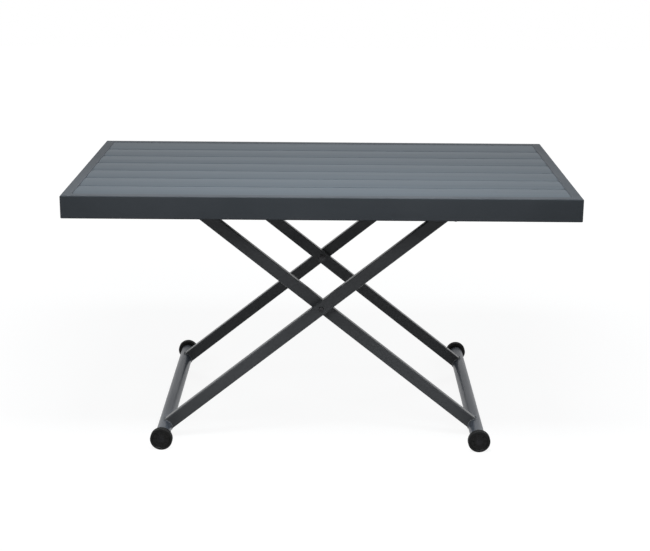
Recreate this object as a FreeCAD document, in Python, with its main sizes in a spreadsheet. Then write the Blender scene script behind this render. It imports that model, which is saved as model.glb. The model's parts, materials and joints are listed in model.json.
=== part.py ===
import FreeCAD, Part
import os
import re
import Sketcher
from FreeCAD import Placement, Rotation, Vector

# Height-adjustable garden table: a slatted top on two pairs of crossed legs with rollers at the feet.
# Frame: origin on the floor under the middle of the top, +X along the length, +Y to the back, +Z up.
# Millimetres. The table stands fully raised, its slide blocks against their stops.

doc = FreeCAD.newDocument("GardenTable")
sheet = doc.addObject("Spreadsheet::Sheet", "Sizes")

sizes = {
    # the table as a whole
    "table_length": 1200,
    "table_width": 700,
    "table_height": 630,
    # mitred hollow frame around the top
    "apron_width": 25,
    "apron_height": 54,
    "apron_wall": 1.8,
    "apron_edge": 2.5,
    "ledge_reach": 12,
    "ledge_thickness": 2,
    "key_arm": 80,
    "key_height": 16,
    "key_fit": 0.2,
    # hollow slats and the flat bars that carry them
    "slat_count": 7,
    "slat_thickness": 14,
    "slat_wall": 1.5,
    "slat_edge": 1.6,
    "slat_gap": 1.6,
    "slat_drop": 0.5,
    "slat_end_gap": 0.4,
    "crossbar_width": 40,
    "crossbar_thickness": 6,
    "slide_bar_at": 245,
    "middle_bar_at": 40,
    "lever_bar_at": 395,
    "screw_diameter": 5,
    "screw_head": 9,
    # slide rails and blocks
    "rail_wall": 2,
    "rail_depth": 20,
    "slider_length": 50,
    "slider_width": 20,
    "slider_height": 28,
    "slide_clearance": 0.3,
    "stop_length": 14,
    # crossed legs
    "foot_spacing": 768,
    "pivot_spacing": 648,
    "leg_inset": 91.5,
    "leg_width": 30,
    "leg_thickness": 20,
    "leg_wall": 1.5,
    "leg_edge": 3,
    "eye_radius": 14,
    "eye_neck": 24,
    "spigot_length": 28,
    "shaft_diameter": 14,
    # bolts where the legs cross
    "bolt_diameter": 8,
    "bolt_head": 13,
    "bolt_head_height": 4.5,
    "bolt_tail": 1.5,
    "bush_diameter": 12,
    "washer_diameter": 20,
    "washer_thickness": 2.2,
    "pivot_nut_flats": 13,
    "pivot_nut_height": 6.5,
    # foot tubes, axles and rollers
    "tube_diameter": 35,
    "tube_wall": 1.8,
    "plug_flange": 3,
    "plug_length": 20,
    "roller_diameter": 54,
    "roller_width": 17,
    "roller_inset": 10,
    "roller_edge": 2.5,
    "roller_rim": 6,
    "roller_dish": 3,
    "hub_diameter": 22,
    "axle_diameter": 10,
    "axle_head": 16,
    "axle_head_height": 1.2,
    # hinge plates under the top
    "plate_width": 36,
    "plate_thickness": 4,
    "plate_flange": 18,
    "plate_tail": 14,
    "pin_head": 20,
    "pin_head_height": 3,
    # lockable gas spring that pulls the slide shaft towards the hinge
    "cylinder_diameter": 22,
    "cylinder_wall": 1.5,
    "cylinder_length": 460,
    "gland_length": 16,
    "spring_stroke": 175,
    "piston_length": 14,
    "rod_diameter": 10,
    "rod_eye_radius": 12,
    "rod_eye_width": 16,
    "rod_neck": 26,
    "end_plug_length": 14,
    "stud_diameter": 12,
    "stud_nut_flats": 19,
    "stud_nut_height": 8,
    "anchor_width": 50,
    "anchor_thickness": 8,
    "anchor_tail": 15,
    "clamp_width": 38,
    "clamp_length": 16,
    "clamp_tail": 15,
    # release lever and valve pin
    "valve_diameter": 4,
    "valve_length": 24,
    "valve_reach": 6,
    "lever_shaft": 8,
    "lever_hub_radius": 7,
    "lever_gap": 1.5,
    "finger_length": 14,
    "finger_width": 10,
    "nose_radius": 4,
    "grip_reach": 112.5,
    "grip_fall": 32,
    "grip_diameter": 14,
    "grip_length": 43,
    "grip_pin": 6,
    "grip_end": 1.5,
    "arm_width": 10,
    "arm_thickness": 5,
    "arm_gap": 5,
    "lever_bracket": 4,
    "bracket_gap": 3,
    "bracket_depth": 10,
    "bracket_length": 30,
    # clearances: seated pieces, turning shafts, and flat faces that pass each other
    "seat_fit": 0.05,
    "running_fit": 0.06,
    "side_gap": 0.3,
    "weld_gap": 0.1,
}

for row, (alias, number) in enumerate(sizes.items(), start=1):
    sheet.set(f"A{row}", alias)
    sheet.set(f"B{row}", str(number))
    sheet.setAlias(f"B{row}", alias)
doc.recompute()

# Places that follow from the sizes, as formulas

half_length = "(table_length / 2)"
half_width = "(table_width / 2)"
inner_half_length = "(table_length / 2 - apron_width)"
inner_half_width = "(table_width / 2 - apron_width)"
slat_pitch = "((table_width - 2 * apron_width) / slat_count)"
slat_under = "(table_height - slat_drop - slat_thickness)"
bar_under = f"({slat_under} - crossbar_thickness)"
rail_height = "(slider_height + 2 * slide_clearance + 2 * rail_wall)"
pivot_z = f"({bar_under} - {rail_height} / 2)"
foot_z = "(roller_diameter / 2)"

half_foot = "(foot_spacing / 2)"
half_pivot = "(pivot_spacing / 2)"
leg_run = f"({half_foot} + {half_pivot})"
leg_rise = f"({pivot_z} - {foot_z})"
leg_reach = f"sqrt({leg_run} ^ 2 + {leg_rise} ^ 2)"
leg_lean = f"atan({leg_rise} / {leg_run})"
cross_reach = f"({leg_reach} * {half_foot} / {leg_run})"
cross_z = f"({foot_z} + {leg_rise} * {half_foot} / {leg_run})"

outer_leg_y = "(table_width / 2 - leg_inset - leg_thickness / 2)"
inner_leg_y = f"({outer_leg_y} - leg_thickness - washer_thickness - side_gap)"
slider_y = f"({inner_leg_y} + leg_thickness / 2 + side_gap + slider_width / 2)"
rail_outer_y = f"({slider_y} + slider_width / 2 + slide_clearance + rail_wall)"

roller_outer_y = "(table_width / 2 - roller_inset)"
roller_inner_y = f"({roller_outer_y} - roller_width)"
plug_outer_y = f"({roller_inner_y} - side_gap)"
tube_half = f"({plug_outer_y} - plug_flange)"
axle_neck_y = f"({roller_outer_y} - axle_head_height)"
hub_depth = "(axle_head_height + side_gap)"

cylinder_right = "(lever_bar_at - anchor_thickness / 2 - stud_nut_height)"
cylinder_left = f"({cylinder_right} - cylinder_length)"
piston_left = f"({cylinder_left} + gland_length + spring_stroke)"
nose_x = "(lever_bar_at + crossbar_width / 2 + lever_gap + lever_hub_radius)"
stud_right = f"({nose_x} - nose_radius - side_gap - valve_reach)"
stud_length = f"({stud_right} - {cylinder_right})"
lever_z = f"({pivot_z} + finger_length)"
arm_front_y = f"({inner_half_width} - arm_gap)"
arm_back_y = f"({arm_front_y} - arm_thickness)"
front_bracket_y = f"({arm_back_y} - bracket_gap - lever_bracket)"
inner_bracket_y = "(anchor_width / 2 + bracket_gap)"


def formula(text):
    return re.sub(r"[a-z_]+", lambda word: f"Sizes.{word[0]}" if word[0] in sizes else word[0], text)


def value(text):
    number = sheet.evalExpression(formula(text))
    return float(getattr(number, "Value", number))


def bind(item, **texts):
    for prop, text in texts.items():
        item.setExpression(prop, formula(text))


def place(item, x="0", y="0", z="0"):
    for axis, text in zip("xyz", (x, y, z)):
        item.setExpression(f"Placement.Base.{axis}", formula(text))
    return item


def turn(item, axis, angle):
    item.Placement = Placement(Vector(), Rotation(axis, 1))
    item.setExpression("Placement.Rotation.Angle", formula(angle))
    return item


# A piece that is drawn along Z is turned to lie along X or Y.
lie_along = {
    "X": Rotation(Vector(0, 1, 0), 90),
    "Y": Rotation(Vector(1, 0, 0), -90),
    "Z": Rotation(),
}


def box(name, size, corner):
    item = doc.addObject("Part::Box", name)
    bind(item, Length=size[0], Width=size[1], Height=size[2])
    return place(item, *corner)


def rod(name, radius, length, start, along):
    item = doc.addObject("Part::Cylinder", name)
    bind(item, Radius=radius, Height=length)
    item.Placement = Placement(Vector(), lie_along[along])
    return place(item, *start)


def hexagon(name, flats, height, start, along):
    item = doc.addObject("Part::Prism", name)
    item.Polygon = 6
    bind(item, Circumradius=f"{flats} / sqrt(3)", Height=height)
    item.Placement = Placement(Vector(), lie_along[along])
    return place(item, *start)


def fuse(name, *pieces):
    item = doc.addObject("Part::MultiFuse", name)
    item.Shapes = list(pieces)
    return item


def cut(name, base, *tools):
    item = doc.addObject("Part::Cut", name)
    item.Base = base
    item.Tool = tools[0] if len(tools) == 1 else fuse(f"{name}_tools", *tools)
    return item


def group(name, *pieces):
    item = doc.addObject("Part::Compound", name)
    item.Links = list(pieces)
    return item


def new_body(name):
    return doc.addObject("PartDesign::Body", name)


def new_sketch(body, role):
    sketch = body.newObject("Sketcher::SketchObject", f"{body.Name}_sketch")
    plane = [item for item in body.Origin.OriginFeatures if item.Role == role][0]
    sketch.AttachmentSupport = (plane, [""])
    sketch.MapMode = "FlatFace"
    return sketch


def add_outline(sketch, points):
    corners = [Vector(value(across), value(up), 0) for across, up in points]
    first = sketch.GeometryCount
    count = len(points)
    for index in range(count):
        sketch.addGeometry(Part.LineSegment(corners[index], corners[(index + 1) % count]), False)
    for index in range(count):
        following = first + (index + 1) % count
        sketch.addConstraint(Sketcher.Constraint("Coincident", first + index, 2, following, 1))
    for index, (across, up) in enumerate(points):
        for kind, text in (("DistanceX", across), ("DistanceY", up)):
            number = sketch.addConstraint(Sketcher.Constraint(kind, first + index, 1, value(text)))
            sketch.setExpression(f"Constraints[{number}]", formula(text))


def add_circle(sketch, across, up, radius):
    centre = Vector(value(across), value(up), 0)
    circle = sketch.addGeometry(Part.Circle(centre, Vector(0, 0, 1), value(radius)), False)
    for kind, text in (("DistanceX", across), ("DistanceY", up)):
        number = sketch.addConstraint(Sketcher.Constraint(kind, circle, 3, value(text)))
        sketch.setExpression(f"Constraints[{number}]", formula(text))
    number = sketch.addConstraint(Sketcher.Constraint("Radius", circle, value(radius)))
    sketch.setExpression(f"Constraints[{number}]", formula(radius))


def rectangle(left, low, right, high):
    return [(left, low), (right, low), (right, high), (left, high)]


def pad(body, sketch, length):
    feature = body.newObject("PartDesign::Pad", f"{body.Name}_pad")
    feature.Profile = sketch
    feature.Midplane = True
    bind(feature, Length=length)
    doc.recompute()
    return feature


def pocket(body, sketch, length):
    before = body.Shape.Volume
    feature = body.newObject("PartDesign::Pocket", f"{body.Name}_pocket")
    feature.Profile = sketch
    feature.Midplane = True
    bind(feature, Length=length)
    doc.recompute()
    if body.Shape.Volume >= before:
        raise RuntimeError(f"{body.Label}: the pocket cuts nothing")
    return feature


def round_edges(body, base, radius, wanted):
    names = [f"Edge{number}" for number, edge in enumerate(base.Shape.Edges, 1) if wanted(edge)]
    feature = body.newObject("PartDesign::Fillet", f"{body.Name}_fillet")
    feature.Base = (base, names)
    bind(feature, Radius=radius)
    doc.recompute()
    return feature


def runs_along_x(edge):
    start, end = edge.Vertexes[0].Point, edge.Vertexes[-1].Point
    return abs(end.x - start.x) > 0.9 * edge.Length


def turned(name, points, start, along):
    # points are (radius, distance along the axis)
    body = new_body(name)
    sketch = new_sketch(body, "XZ_Plane")
    add_outline(sketch, points)
    feature = body.newObject("PartDesign::Revolution", f"{name}_revolution")
    feature.Profile = sketch
    feature.ReferenceAxis = (sketch, ["V_Axis"])
    feature.Angle = 360
    body.Placement = Placement(Vector(), lie_along[along])
    return place(body, *start)


def ring(name, outer, bore, length, start, along):
    points = rectangle(bore, "0", outer, length)
    return turned(name, points, start, along)


sides = {"front": -1, "back": 1}
parts = []


def keep(item, name):
    item.Label = name
    parts.append(item)
    return item


# Frame of the top: four hollow profiles, mitred at the corners

def apron(name, length, turn_angle, x, y, ledge):
    body = new_body(name)
    sketch = new_sketch(body, "YZ_Plane")
    reach = "apron_width"
    if ledge:
        reach = "(apron_width + ledge_reach)"
        ledge_top = f"({slat_under} - table_height + apron_height)"
        outer = [("0", "0"), ("apron_width", "0"), ("apron_width", f"{ledge_top} - ledge_thickness"),
                 (reach, f"{ledge_top} - ledge_thickness"), (reach, ledge_top), ("apron_width", ledge_top),
                 ("apron_width", "apron_height"), ("0", "apron_height")]
    else:
        outer = rectangle("0", "0", "apron_width", "apron_height")
    add_outline(sketch, outer)
    add_outline(sketch, rectangle("apron_wall", "apron_wall", "apron_width - apron_wall",
                                  "apron_height - apron_wall"))
    profile = pad(body, sketch, length)
    width, height = value("apron_width"), value("apron_height")

    def outer_corner(edge):
        point = edge.CenterOfMass
        on_side = min(abs(point.y), abs(point.y - width)) < 0.01
        on_end = min(abs(point.z), abs(point.z - height)) < 0.01
        return runs_along_x(edge) and on_side and on_end

    round_edges(body, profile, "apron_edge", outer_corner)
    mitre = new_sketch(body, "XY_Plane")
    for sign in ("-", ""):
        corner = f"{sign}({length} / 2)"
        inside = f"{sign}({length} / 2 - {reach})"
        add_outline(mitre, [(corner, "0"), (inside, reach), (corner, reach)])
    pocket(body, mitre, "4 * apron_height")
    body.Placement = Placement(Vector(), Rotation(Vector(0, 0, 1), turn_angle))
    place(body, x, y, "table_height - apron_height")
    return keep(body, name)


apron("apron_front", "table_length", 0, "0", f"-{half_width}", False)
apron("apron_back", "table_length", 180, "0", half_width, False)
apron("apron_left", "table_width", -90, f"-{half_length}", "0", True)
apron("apron_right", "table_width", 90, half_length, "0", True)

# Keys inside the four mitred corners

key_thickness = "(apron_width - 2 * apron_wall - 2 * key_fit)"
key_start = "(apron_wall + key_fit)"
keys = []
for x_sign in (-1, 1):
    for y_sign in (-1, 1):
        low_x = f"-{half_length} + {key_start}" if x_sign < 0 else f"{half_length} - {key_start}"
        low_y = f"-{half_width} + {key_start}" if y_sign < 0 else f"{half_width} - {key_start}"
        key_name = f"key_{'left' if x_sign < 0 else 'right'}_{'front' if y_sign < 0 else 'back'}"
        along_x = low_x if x_sign < 0 else f"{low_x} - key_arm"
        along_y = low_y if y_sign < 0 else f"{low_y} - key_arm"
        across_x = low_x if x_sign < 0 else f"{low_x} - {key_thickness}"
        across_y = low_y if y_sign < 0 else f"{low_y} - {key_thickness}"
        floor_z = "table_height - apron_height + apron_wall"
        long_arm = box(f"{key_name}_long", ("key_arm", key_thickness, "key_height"), (along_x, across_y, floor_z))
        short_arm = box(f"{key_name}_short", (key_thickness, "key_arm", "key_height"), (across_x, along_y, floor_z))
        keys.append(fuse(key_name, long_arm, short_arm))
keep(group("corner_keys", *keys), "corner_keys")

# Flat bars across the frame, under the slats

crossbar_at = {
    "crossbar_slide": "-slide_bar_at",
    "crossbar_middle": "middle_bar_at",
    "crossbar_hinge": half_pivot,
    "crossbar_lever": "lever_bar_at",
}


def slat_middle(number):
    return f"({slat_pitch} * ({number} - (slat_count + 1) / 2))"


slat_numbers = range(1, sizes["slat_count"] + 1)
screws = []
for bar_name, bar_x in crossbar_at.items():
    # the lever's bar ends short of the release arm, which swings past it
    half_bar = f"({arm_back_y} - bracket_gap)" if bar_name == "crossbar_lever" else inner_half_width
    blank = box(f"{bar_name}_blank", ("crossbar_width", f"2 * {half_bar}", "crossbar_thickness"),
                (f"{bar_x} - crossbar_width / 2", f"-{half_bar}", bar_under))
    holes = []
    for number in slat_numbers:
        # countersunk screw, flush under the bar, up through the slat's lower wall
        spot = (bar_x, slat_middle(number), bar_under)
        head_height = "((screw_head - screw_diameter) / 2)"
        stem = "(crossbar_thickness + slat_wall)"
        for fit, target in (("0", screws), ("seat_fit", holes)):
            outline = [("0", "0"), (f"screw_head / 2 + {fit}", "0"), (f"screw_diameter / 2 + {fit}", head_height),
                       (f"screw_diameter / 2 + {fit}", stem), ("0", stem)]
            target.append(turned(f"{bar_name}_screw_{number}", outline, spot, "Z"))
    keep(cut(bar_name, blank, *holes), bar_name)
keep(group("slat_screws", *screws), "slat_screws")

# Hollow slats with a middle rib that is split for the screws

slat_length = f"(2 * {inner_half_length} - 2 * slat_end_gap)"
slat_width = f"({slat_pitch} - slat_gap)"
rib_half = "(screw_head / 2)"
for number in slat_numbers:
    slat = new_body(f"slat_{number}")
    section = new_sketch(slat, "YZ_Plane")
    add_outline(section, rectangle(f"-{slat_width} / 2", "0", f"{slat_width} / 2", "slat_thickness"))
    chambers = (
        (f"-{slat_width} / 2 + slat_wall", f"-{rib_half} - slat_wall"),
        (f"-{rib_half}", rib_half),
        (f"{rib_half} + slat_wall", f"{slat_width} / 2 - slat_wall"),
    )
    for left, right in chambers:
        add_outline(section, rectangle(left, "slat_wall", right, "slat_thickness - slat_wall"))
    board = pad(slat, section, slat_length)
    edge_y = value(slat_width) / 2

    def long_top_edge(edge):
        point = edge.CenterOfMass
        at_side = abs(abs(point.y) - edge_y) < 0.01
        return runs_along_x(edge) and at_side and abs(point.z - value("slat_thickness")) < 0.01

    round_edges(slat, board, "slat_edge", long_top_edge)
    drilling = new_sketch(slat, "XY_Plane")
    for bar_x in crossbar_at.values():
        add_circle(drilling, bar_x, "0", "screw_diameter / 2 + seat_fit")
    pocket(slat, drilling, "4 * slat_wall")
    place(slat, "0", slat_middle(number), slat_under)
    keep(slat, f"slat_{number}")

# Slide rails: channels open towards the middle, with a stop block for the raised height

rail_left = f"(-{inner_half_length})"
rail_right = "(-slide_bar_at + crossbar_width / 2)"
stops = []
for side, sign in sides.items():
    rail = new_body(f"slide_rail_{side}")
    section = new_sketch(rail, "YZ_Plane")
    high = f"({rail_height} / 2)"
    web = "(rail_depth - rail_wall)"
    inner_high = f"({rail_height} / 2 - rail_wall)"
    channel = [("0", f"-{high}"), ("rail_depth", f"-{high}"), ("rail_depth", high), ("0", high),
               ("0", inner_high), (web, inner_high), (web, f"-{inner_high}"), ("0", f"-{inner_high}")]
    add_outline(section, [(f"{sign} * {across}", up) for across, up in channel])
    pad(rail, section, f"{rail_right} - {rail_left}")
    place(rail, f"({rail_left} + {rail_right}) / 2", f"{sign} * ({rail_outer_y} - rail_depth)", pivot_z)
    keep(rail, f"slide_rail_{side}")
    stop_y = f"{sign} * {slider_y} - slider_width / 2"
    stop_x = f"-{half_pivot} + slider_length / 2 + side_gap"
    stops.append(box(f"slide_stop_{side}", ("stop_length", "slider_width + slide_clearance", f"2 * {inner_high}"),
                     (stop_x, stop_y if sign > 0 else f"{stop_y} - slide_clearance",
                      f"{pivot_z} - {inner_high}")))
keep(group("slide_stops", *stops), "slide_stops")

# Hinge plates on both sides of each outer leg's eye, and the pins through them

plates = []
pins = []
for side, sign in sides.items():
    for cheek, flange_sign in (("outside", 1), ("inside", -1)):
        near = f"({outer_leg_y} + {flange_sign} * (leg_thickness / 2 + side_gap))"
        far = f"({near} + {flange_sign} * plate_thickness)"
        edge = f"({near} + {flange_sign} * plate_flange)"
        plate = new_body(f"hinge_plate_{cheek}_{side}")
        section = new_sketch(plate, "YZ_Plane")
        drop = f"({pivot_z} - plate_tail)"
        shelf = f"({bar_under} - plate_thickness)"
        points = [(near, bar_under), (near, drop), (far, drop), (far, shelf), (edge, shelf), (edge, bar_under)]
        add_outline(section, [(f"{sign} * {across}", up) for across, up in points])
        pad(plate, section, "plate_width")
        drilling = new_sketch(plate, "XZ_Plane")
        add_circle(drilling, "0", pivot_z, "shaft_diameter / 2 + seat_fit")
        pocket(plate, drilling, "2 * table_width")
        place(plate, half_pivot)
        plates.append(plate)
    stack = "(leg_thickness / 2 + side_gap + plate_thickness)"
    shank = f"(2 * {stack} + pin_head_height)"
    pin_outline = [("0", "0"), ("pin_head / 2", "0"), ("pin_head / 2", "pin_head_height"),
                   ("shaft_diameter / 2", "pin_head_height"), ("shaft_diameter / 2", f"pin_head_height + {shank}"),
                   ("0", f"pin_head_height + {shank}")]
    pin = turned(f"hinge_pin_{side}", pin_outline, ("0", "0", "0"), "Y")
    pin.Placement = Placement(Vector(), Rotation(Vector(1, 0, 0), 90 * sign))
    place(pin, half_pivot, f"{sign} * ({outer_leg_y} + {stack} + pin_head_height)", pivot_z)
    pins.append(pin)
keep(group("hinge_plates", *plates), "hinge_plates")
keep(group("hinge_pins", *pins), "hinge_pins")

# Gas spring: the cylinder is held under the top

cylinder_radius = "(cylinder_diameter / 2)"
cylinder_bore = "(cylinder_diameter / 2 - cylinder_wall)"
keep(ring("spring_cylinder", cylinder_radius, cylinder_bore, "cylinder_length",
          (cylinder_left, "0", pivot_z), "X"), "spring_cylinder")
keep(ring("spring_gland", f"{cylinder_bore} - seat_fit", "rod_diameter / 2 + running_fit", "gland_length",
          (cylinder_left, "0", pivot_z), "X"), "spring_gland")

stud_radius = "(stud_diameter / 2)"
valve_bore = "(valve_diameter / 2 + running_fit)"
plug_start = f"({cylinder_right} - end_plug_length)"
plug_radius = f"({cylinder_bore} - seat_fit)"
plug_full = f"(end_plug_length + {stud_length})"
plug_outline = [(valve_bore, "0"), (plug_radius, "0"), (plug_radius, "end_plug_length"),
                (stud_radius, "end_plug_length"), (stud_radius, plug_full), (valve_bore, plug_full)]
keep(turned("spring_end_plug", plug_outline, (plug_start, "0", pivot_z), "X"), "spring_end_plug")

anchor_height = f"{bar_under} - {pivot_z} + anchor_tail"
anchor_blank = box("spring_anchor_blank", ("anchor_thickness", "anchor_width", anchor_height),
                   ("lever_bar_at - anchor_thickness / 2", "-anchor_width / 2", f"{pivot_z} - anchor_tail"))
anchor_hole = rod("spring_anchor_hole", f"{stud_radius} + seat_fit", "2 * anchor_thickness",
                  ("lever_bar_at - anchor_thickness", "0", pivot_z), "X")
keep(cut("spring_anchor", anchor_blank, anchor_hole), "spring_anchor")

stud_nuts = []
for label, nut_x in (("inner", cylinder_right), ("outer", "lever_bar_at + anchor_thickness / 2")):
    nut = hexagon(f"stud_nut_{label}_blank", "stud_nut_flats", "stud_nut_height", (nut_x, "0", pivot_z), "X")
    thread = rod(f"stud_nut_{label}_bore", f"{stud_radius} + seat_fit", "stud_nut_height", (nut_x, "0", pivot_z), "X")
    stud_nuts.append(cut(f"stud_nut_{label}", nut, thread))
keep(group("spring_nuts", *stud_nuts), "spring_nuts")

clamps = []
for label, bar_x in (("middle", "middle_bar_at"), ("hinge", half_pivot)):
    blank = box(f"spring_clamp_{label}_blank", ("clamp_length", "clamp_width", f"{bar_under} - {pivot_z} + clamp_tail"),
                (f"{bar_x} - clamp_length / 2", "-clamp_width / 2", f"{pivot_z} - clamp_tail"))
    seat = rod(f"spring_clamp_{label}_seat", f"{cylinder_radius} + seat_fit", "2 * clamp_length",
               (f"{bar_x} - clamp_length", "0", pivot_z), "X")
    clamps.append(cut(f"spring_clamp_{label}", blank, seat))
keep(group("spring_clamps", *clamps), "spring_clamps")

# Gas spring: rod, piston and rod eye travel with the slide shaft

eye_right = f"(-{half_pivot} + rod_neck)"
keep(rod("spring_rod", "rod_diameter / 2", f"{piston_left} + piston_length - {eye_right}",
         (eye_right, "0", pivot_z), "X"), "spring_rod")
keep(ring("spring_piston", f"{cylinder_bore} - running_fit", "rod_diameter / 2 + seat_fit", "piston_length",
          (piston_left, "0", pivot_z), "X"), "spring_piston")

rod_eye_ring = rod("spring_rod_eye_ring", "rod_eye_radius", "rod_eye_width",
                   (f"-{half_pivot}", "-rod_eye_width / 2", pivot_z), "Y")
rod_eye_neck = rod("spring_rod_eye_neck", "rod_diameter / 2 + rod_eye_width / 8", "rod_neck",
                   (f"-{half_pivot}", "0", pivot_z), "X")
rod_eye_bore = rod("spring_rod_eye_bore", "shaft_diameter / 2 + seat_fit", "2 * rod_eye_width",
                   (f"-{half_pivot}", "-rod_eye_width", pivot_z), "Y")
keep(cut("spring_rod_eye", fuse("spring_rod_eye_blank", rod_eye_ring, rod_eye_neck), rod_eye_bore),
     "spring_rod_eye")

# Slide shaft and its blocks

shaft_half = f"({slider_y} + slider_width / 2)"
keep(rod("slide_shaft", "shaft_diameter / 2", f"2 * {shaft_half}", (f"-{half_pivot}", f"-{shaft_half}", pivot_z), "Y"),
     "slide_shaft")
for side, sign in sides.items():
    low_y = f"{sign} * {slider_y} - slider_width / 2"
    blank = box(f"slide_block_{side}_blank", ("slider_length", "slider_width", "slider_height"),
                (f"-{half_pivot} - slider_length / 2", low_y, f"{pivot_z} - slider_height / 2"))
    bore = rod(f"slide_block_{side}_bore", "shaft_diameter / 2 + seat_fit", "2 * slider_width",
               (f"-{half_pivot}", f"{low_y} - slider_width / 2", pivot_z), "Y")
    keep(cut(f"slide_block_{side}", blank, bore), f"slide_block_{side}")

# Release lever: a shaft across the front half, an arm with its grip, and a finger at the valve

lever_radius = "(lever_shaft / 2)"
shaft_back = "(finger_width / 2 + bracket_gap)"
keep(rod("release_shaft", lever_radius, f"{arm_front_y} + {shaft_back}", (nose_x, f"-{arm_front_y}", lever_z), "Y"),
     "release_shaft")

finger_hub = rod("release_finger_hub", "lever_hub_radius", "finger_width", (nose_x, "-finger_width / 2", lever_z), "Y")
finger_nose = rod("release_finger_nose", "nose_radius", "finger_width", (nose_x, "-finger_width / 2", pivot_z), "Y")
finger_web = box("release_finger_web", ("2 * nose_radius", "finger_width", "finger_length"),
                 (f"{nose_x} - nose_radius", "-finger_width / 2", pivot_z))
finger_bore = rod("release_finger_bore", f"{lever_radius} + seat_fit", "2 * finger_width",
                  (nose_x, "-finger_width", lever_z), "Y")
keep(cut("release_finger", fuse("release_finger_blank", finger_hub, finger_nose, finger_web), finger_bore),
     "release_finger")

grip_x = f"({nose_x} - grip_reach)"
grip_z = f"({lever_z} - grip_fall)"
arm_hub = rod("release_arm_hub", "lever_hub_radius", "arm_thickness", (nose_x, f"-{arm_front_y}", lever_z), "Y")
arm_tip = rod("release_arm_tip", "grip_diameter / 2", "arm_thickness", (grip_x, f"-{arm_front_y}", grip_z), "Y")
arm_pin = rod("release_arm_pin", "grip_pin / 2", "arm_thickness + grip_length - grip_end",
              (grip_x, f"-{arm_front_y}", grip_z), "Y")
arm_slope = "sqrt(grip_reach ^ 2 + grip_fall ^ 2)"
arm_bar = box("release_arm_bar", (arm_slope, "arm_thickness", "arm_width"), ("0", "0", "0"))
turn(arm_bar, Vector(0, -1, 0), "atan(grip_fall / grip_reach)")
place(arm_bar, f"{grip_x} + arm_width / 2 * grip_fall / {arm_slope}", f"-{arm_front_y}",
      f"{grip_z} - arm_width / 2 * grip_reach / {arm_slope}")
arm_bore = rod("release_arm_bore", f"{lever_radius} + seat_fit", "4 * arm_thickness",
               (nose_x, f"-{arm_front_y} - arm_thickness", lever_z), "Y")
keep(cut("release_arm", fuse("release_arm_blank", arm_hub, arm_tip, arm_pin, arm_bar), arm_bore), "release_arm")

grip_bore = "(grip_pin / 2 + seat_fit)"
grip_outline = [(grip_bore, "0"), ("grip_diameter / 2", "0"), ("grip_diameter / 2", "grip_length - grip_end"),
                ("grip_diameter / 2 - grip_end", "grip_length"), ("0", "grip_length"),
                ("0", "grip_length - grip_end + seat_fit"), (grip_bore, "grip_length - grip_end + seat_fit")]
keep(turned("release_grip", grip_outline, (grip_x, f"-{arm_back_y}", grip_z), "Y"), "release_grip")

brackets = []
strap_length = f"{nose_x} - lever_bar_at + bracket_length / 2"
for label, near_y in (("front", front_bracket_y), ("inner", inner_bracket_y)):
    bracket_y = f"-{near_y} - lever_bracket"
    strap = box(f"lever_bracket_{label}_strap", (strap_length, "lever_bracket", "bracket_depth"),
                ("lever_bar_at - bracket_length / 2", bracket_y, f"{bar_under} - bracket_depth"))
    boss = rod(f"lever_bracket_{label}_boss", "lever_hub_radius", "lever_bracket", (nose_x, bracket_y, lever_z), "Y")
    bore = rod(f"lever_bracket_{label}_bore", f"{lever_radius} + running_fit", "3 * lever_bracket",
               (nose_x, f"{bracket_y} - lever_bracket", lever_z), "Y")
    brackets.append(cut(f"lever_bracket_{label}", fuse(f"lever_bracket_{label}_blank", strap, boss), bore))
keep(group("lever_brackets", *brackets), "lever_brackets")

pin_left = f"{stud_right} + valve_reach - valve_length"
keep(rod("valve_pin", "valve_diameter / 2", "valve_length", (pin_left, "0", pivot_z), "X"), "valve_pin")

# Legs: rectangular tubes coped onto the foot tubes, with a moulded eye plugged into the upper end.
# Each is drawn along X from the foot's axis, then leaned.

tube_radius = "(tube_diameter / 2)"
tube_bore = "(tube_diameter / 2 - tube_wall)"
lean_up = Vector(0, -1, 0)


def stand(item, leg_kind, sign):
    if leg_kind == "outer":
        turn(item, lean_up, leg_lean)
        return place(item, f"-{half_foot}", f"{sign} * {outer_leg_y}", foot_z)
    turn(item, lean_up, f"180 deg - {leg_lean}")
    return place(item, half_foot, f"{sign} * {inner_leg_y}", foot_z)


def leg(leg_kind, side, sign, hole):
    name = f"{leg_kind}_leg_{side}"
    body = new_body(name)
    section = new_sketch(body, "YZ_Plane")
    add_outline(section, rectangle("-leg_thickness / 2", "-leg_width / 2", "leg_thickness / 2", "leg_width / 2"))
    add_outline(section, rectangle("-leg_thickness / 2 + leg_wall", "-leg_width / 2 + leg_wall",
                                   "leg_thickness / 2 - leg_wall", "leg_width / 2 - leg_wall"))
    tube = pad(body, section, f"2 * ({leg_reach} - eye_neck)")
    half_high = value("leg_width / 2")
    half_thick = value("leg_thickness / 2")

    def outer_corner(edge):
        point = edge.CenterOfMass
        return runs_along_x(edge) and abs(abs(point.y) - half_thick) < 0.01 and abs(abs(point.z) - half_high) < 0.01

    round_edges(body, tube, "leg_edge", outer_corner)
    # the half below the foot axis goes, and the end is coped to the foot tube
    lower = new_sketch(body, "XZ_Plane")
    add_outline(lower, rectangle(f"-{leg_reach}", "-leg_width", "0", "leg_width"))
    pocket(body, lower, "4 * leg_thickness")
    shaped = new_sketch(body, "XZ_Plane")
    add_circle(shaped, "0", "0", f"{tube_radius} + weld_gap")
    add_circle(shaped, cross_reach, "0", hole)
    pocket(body, shaped, "4 * leg_thickness")
    stand(body, leg_kind, sign)
    return keep(body, name)


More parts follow.
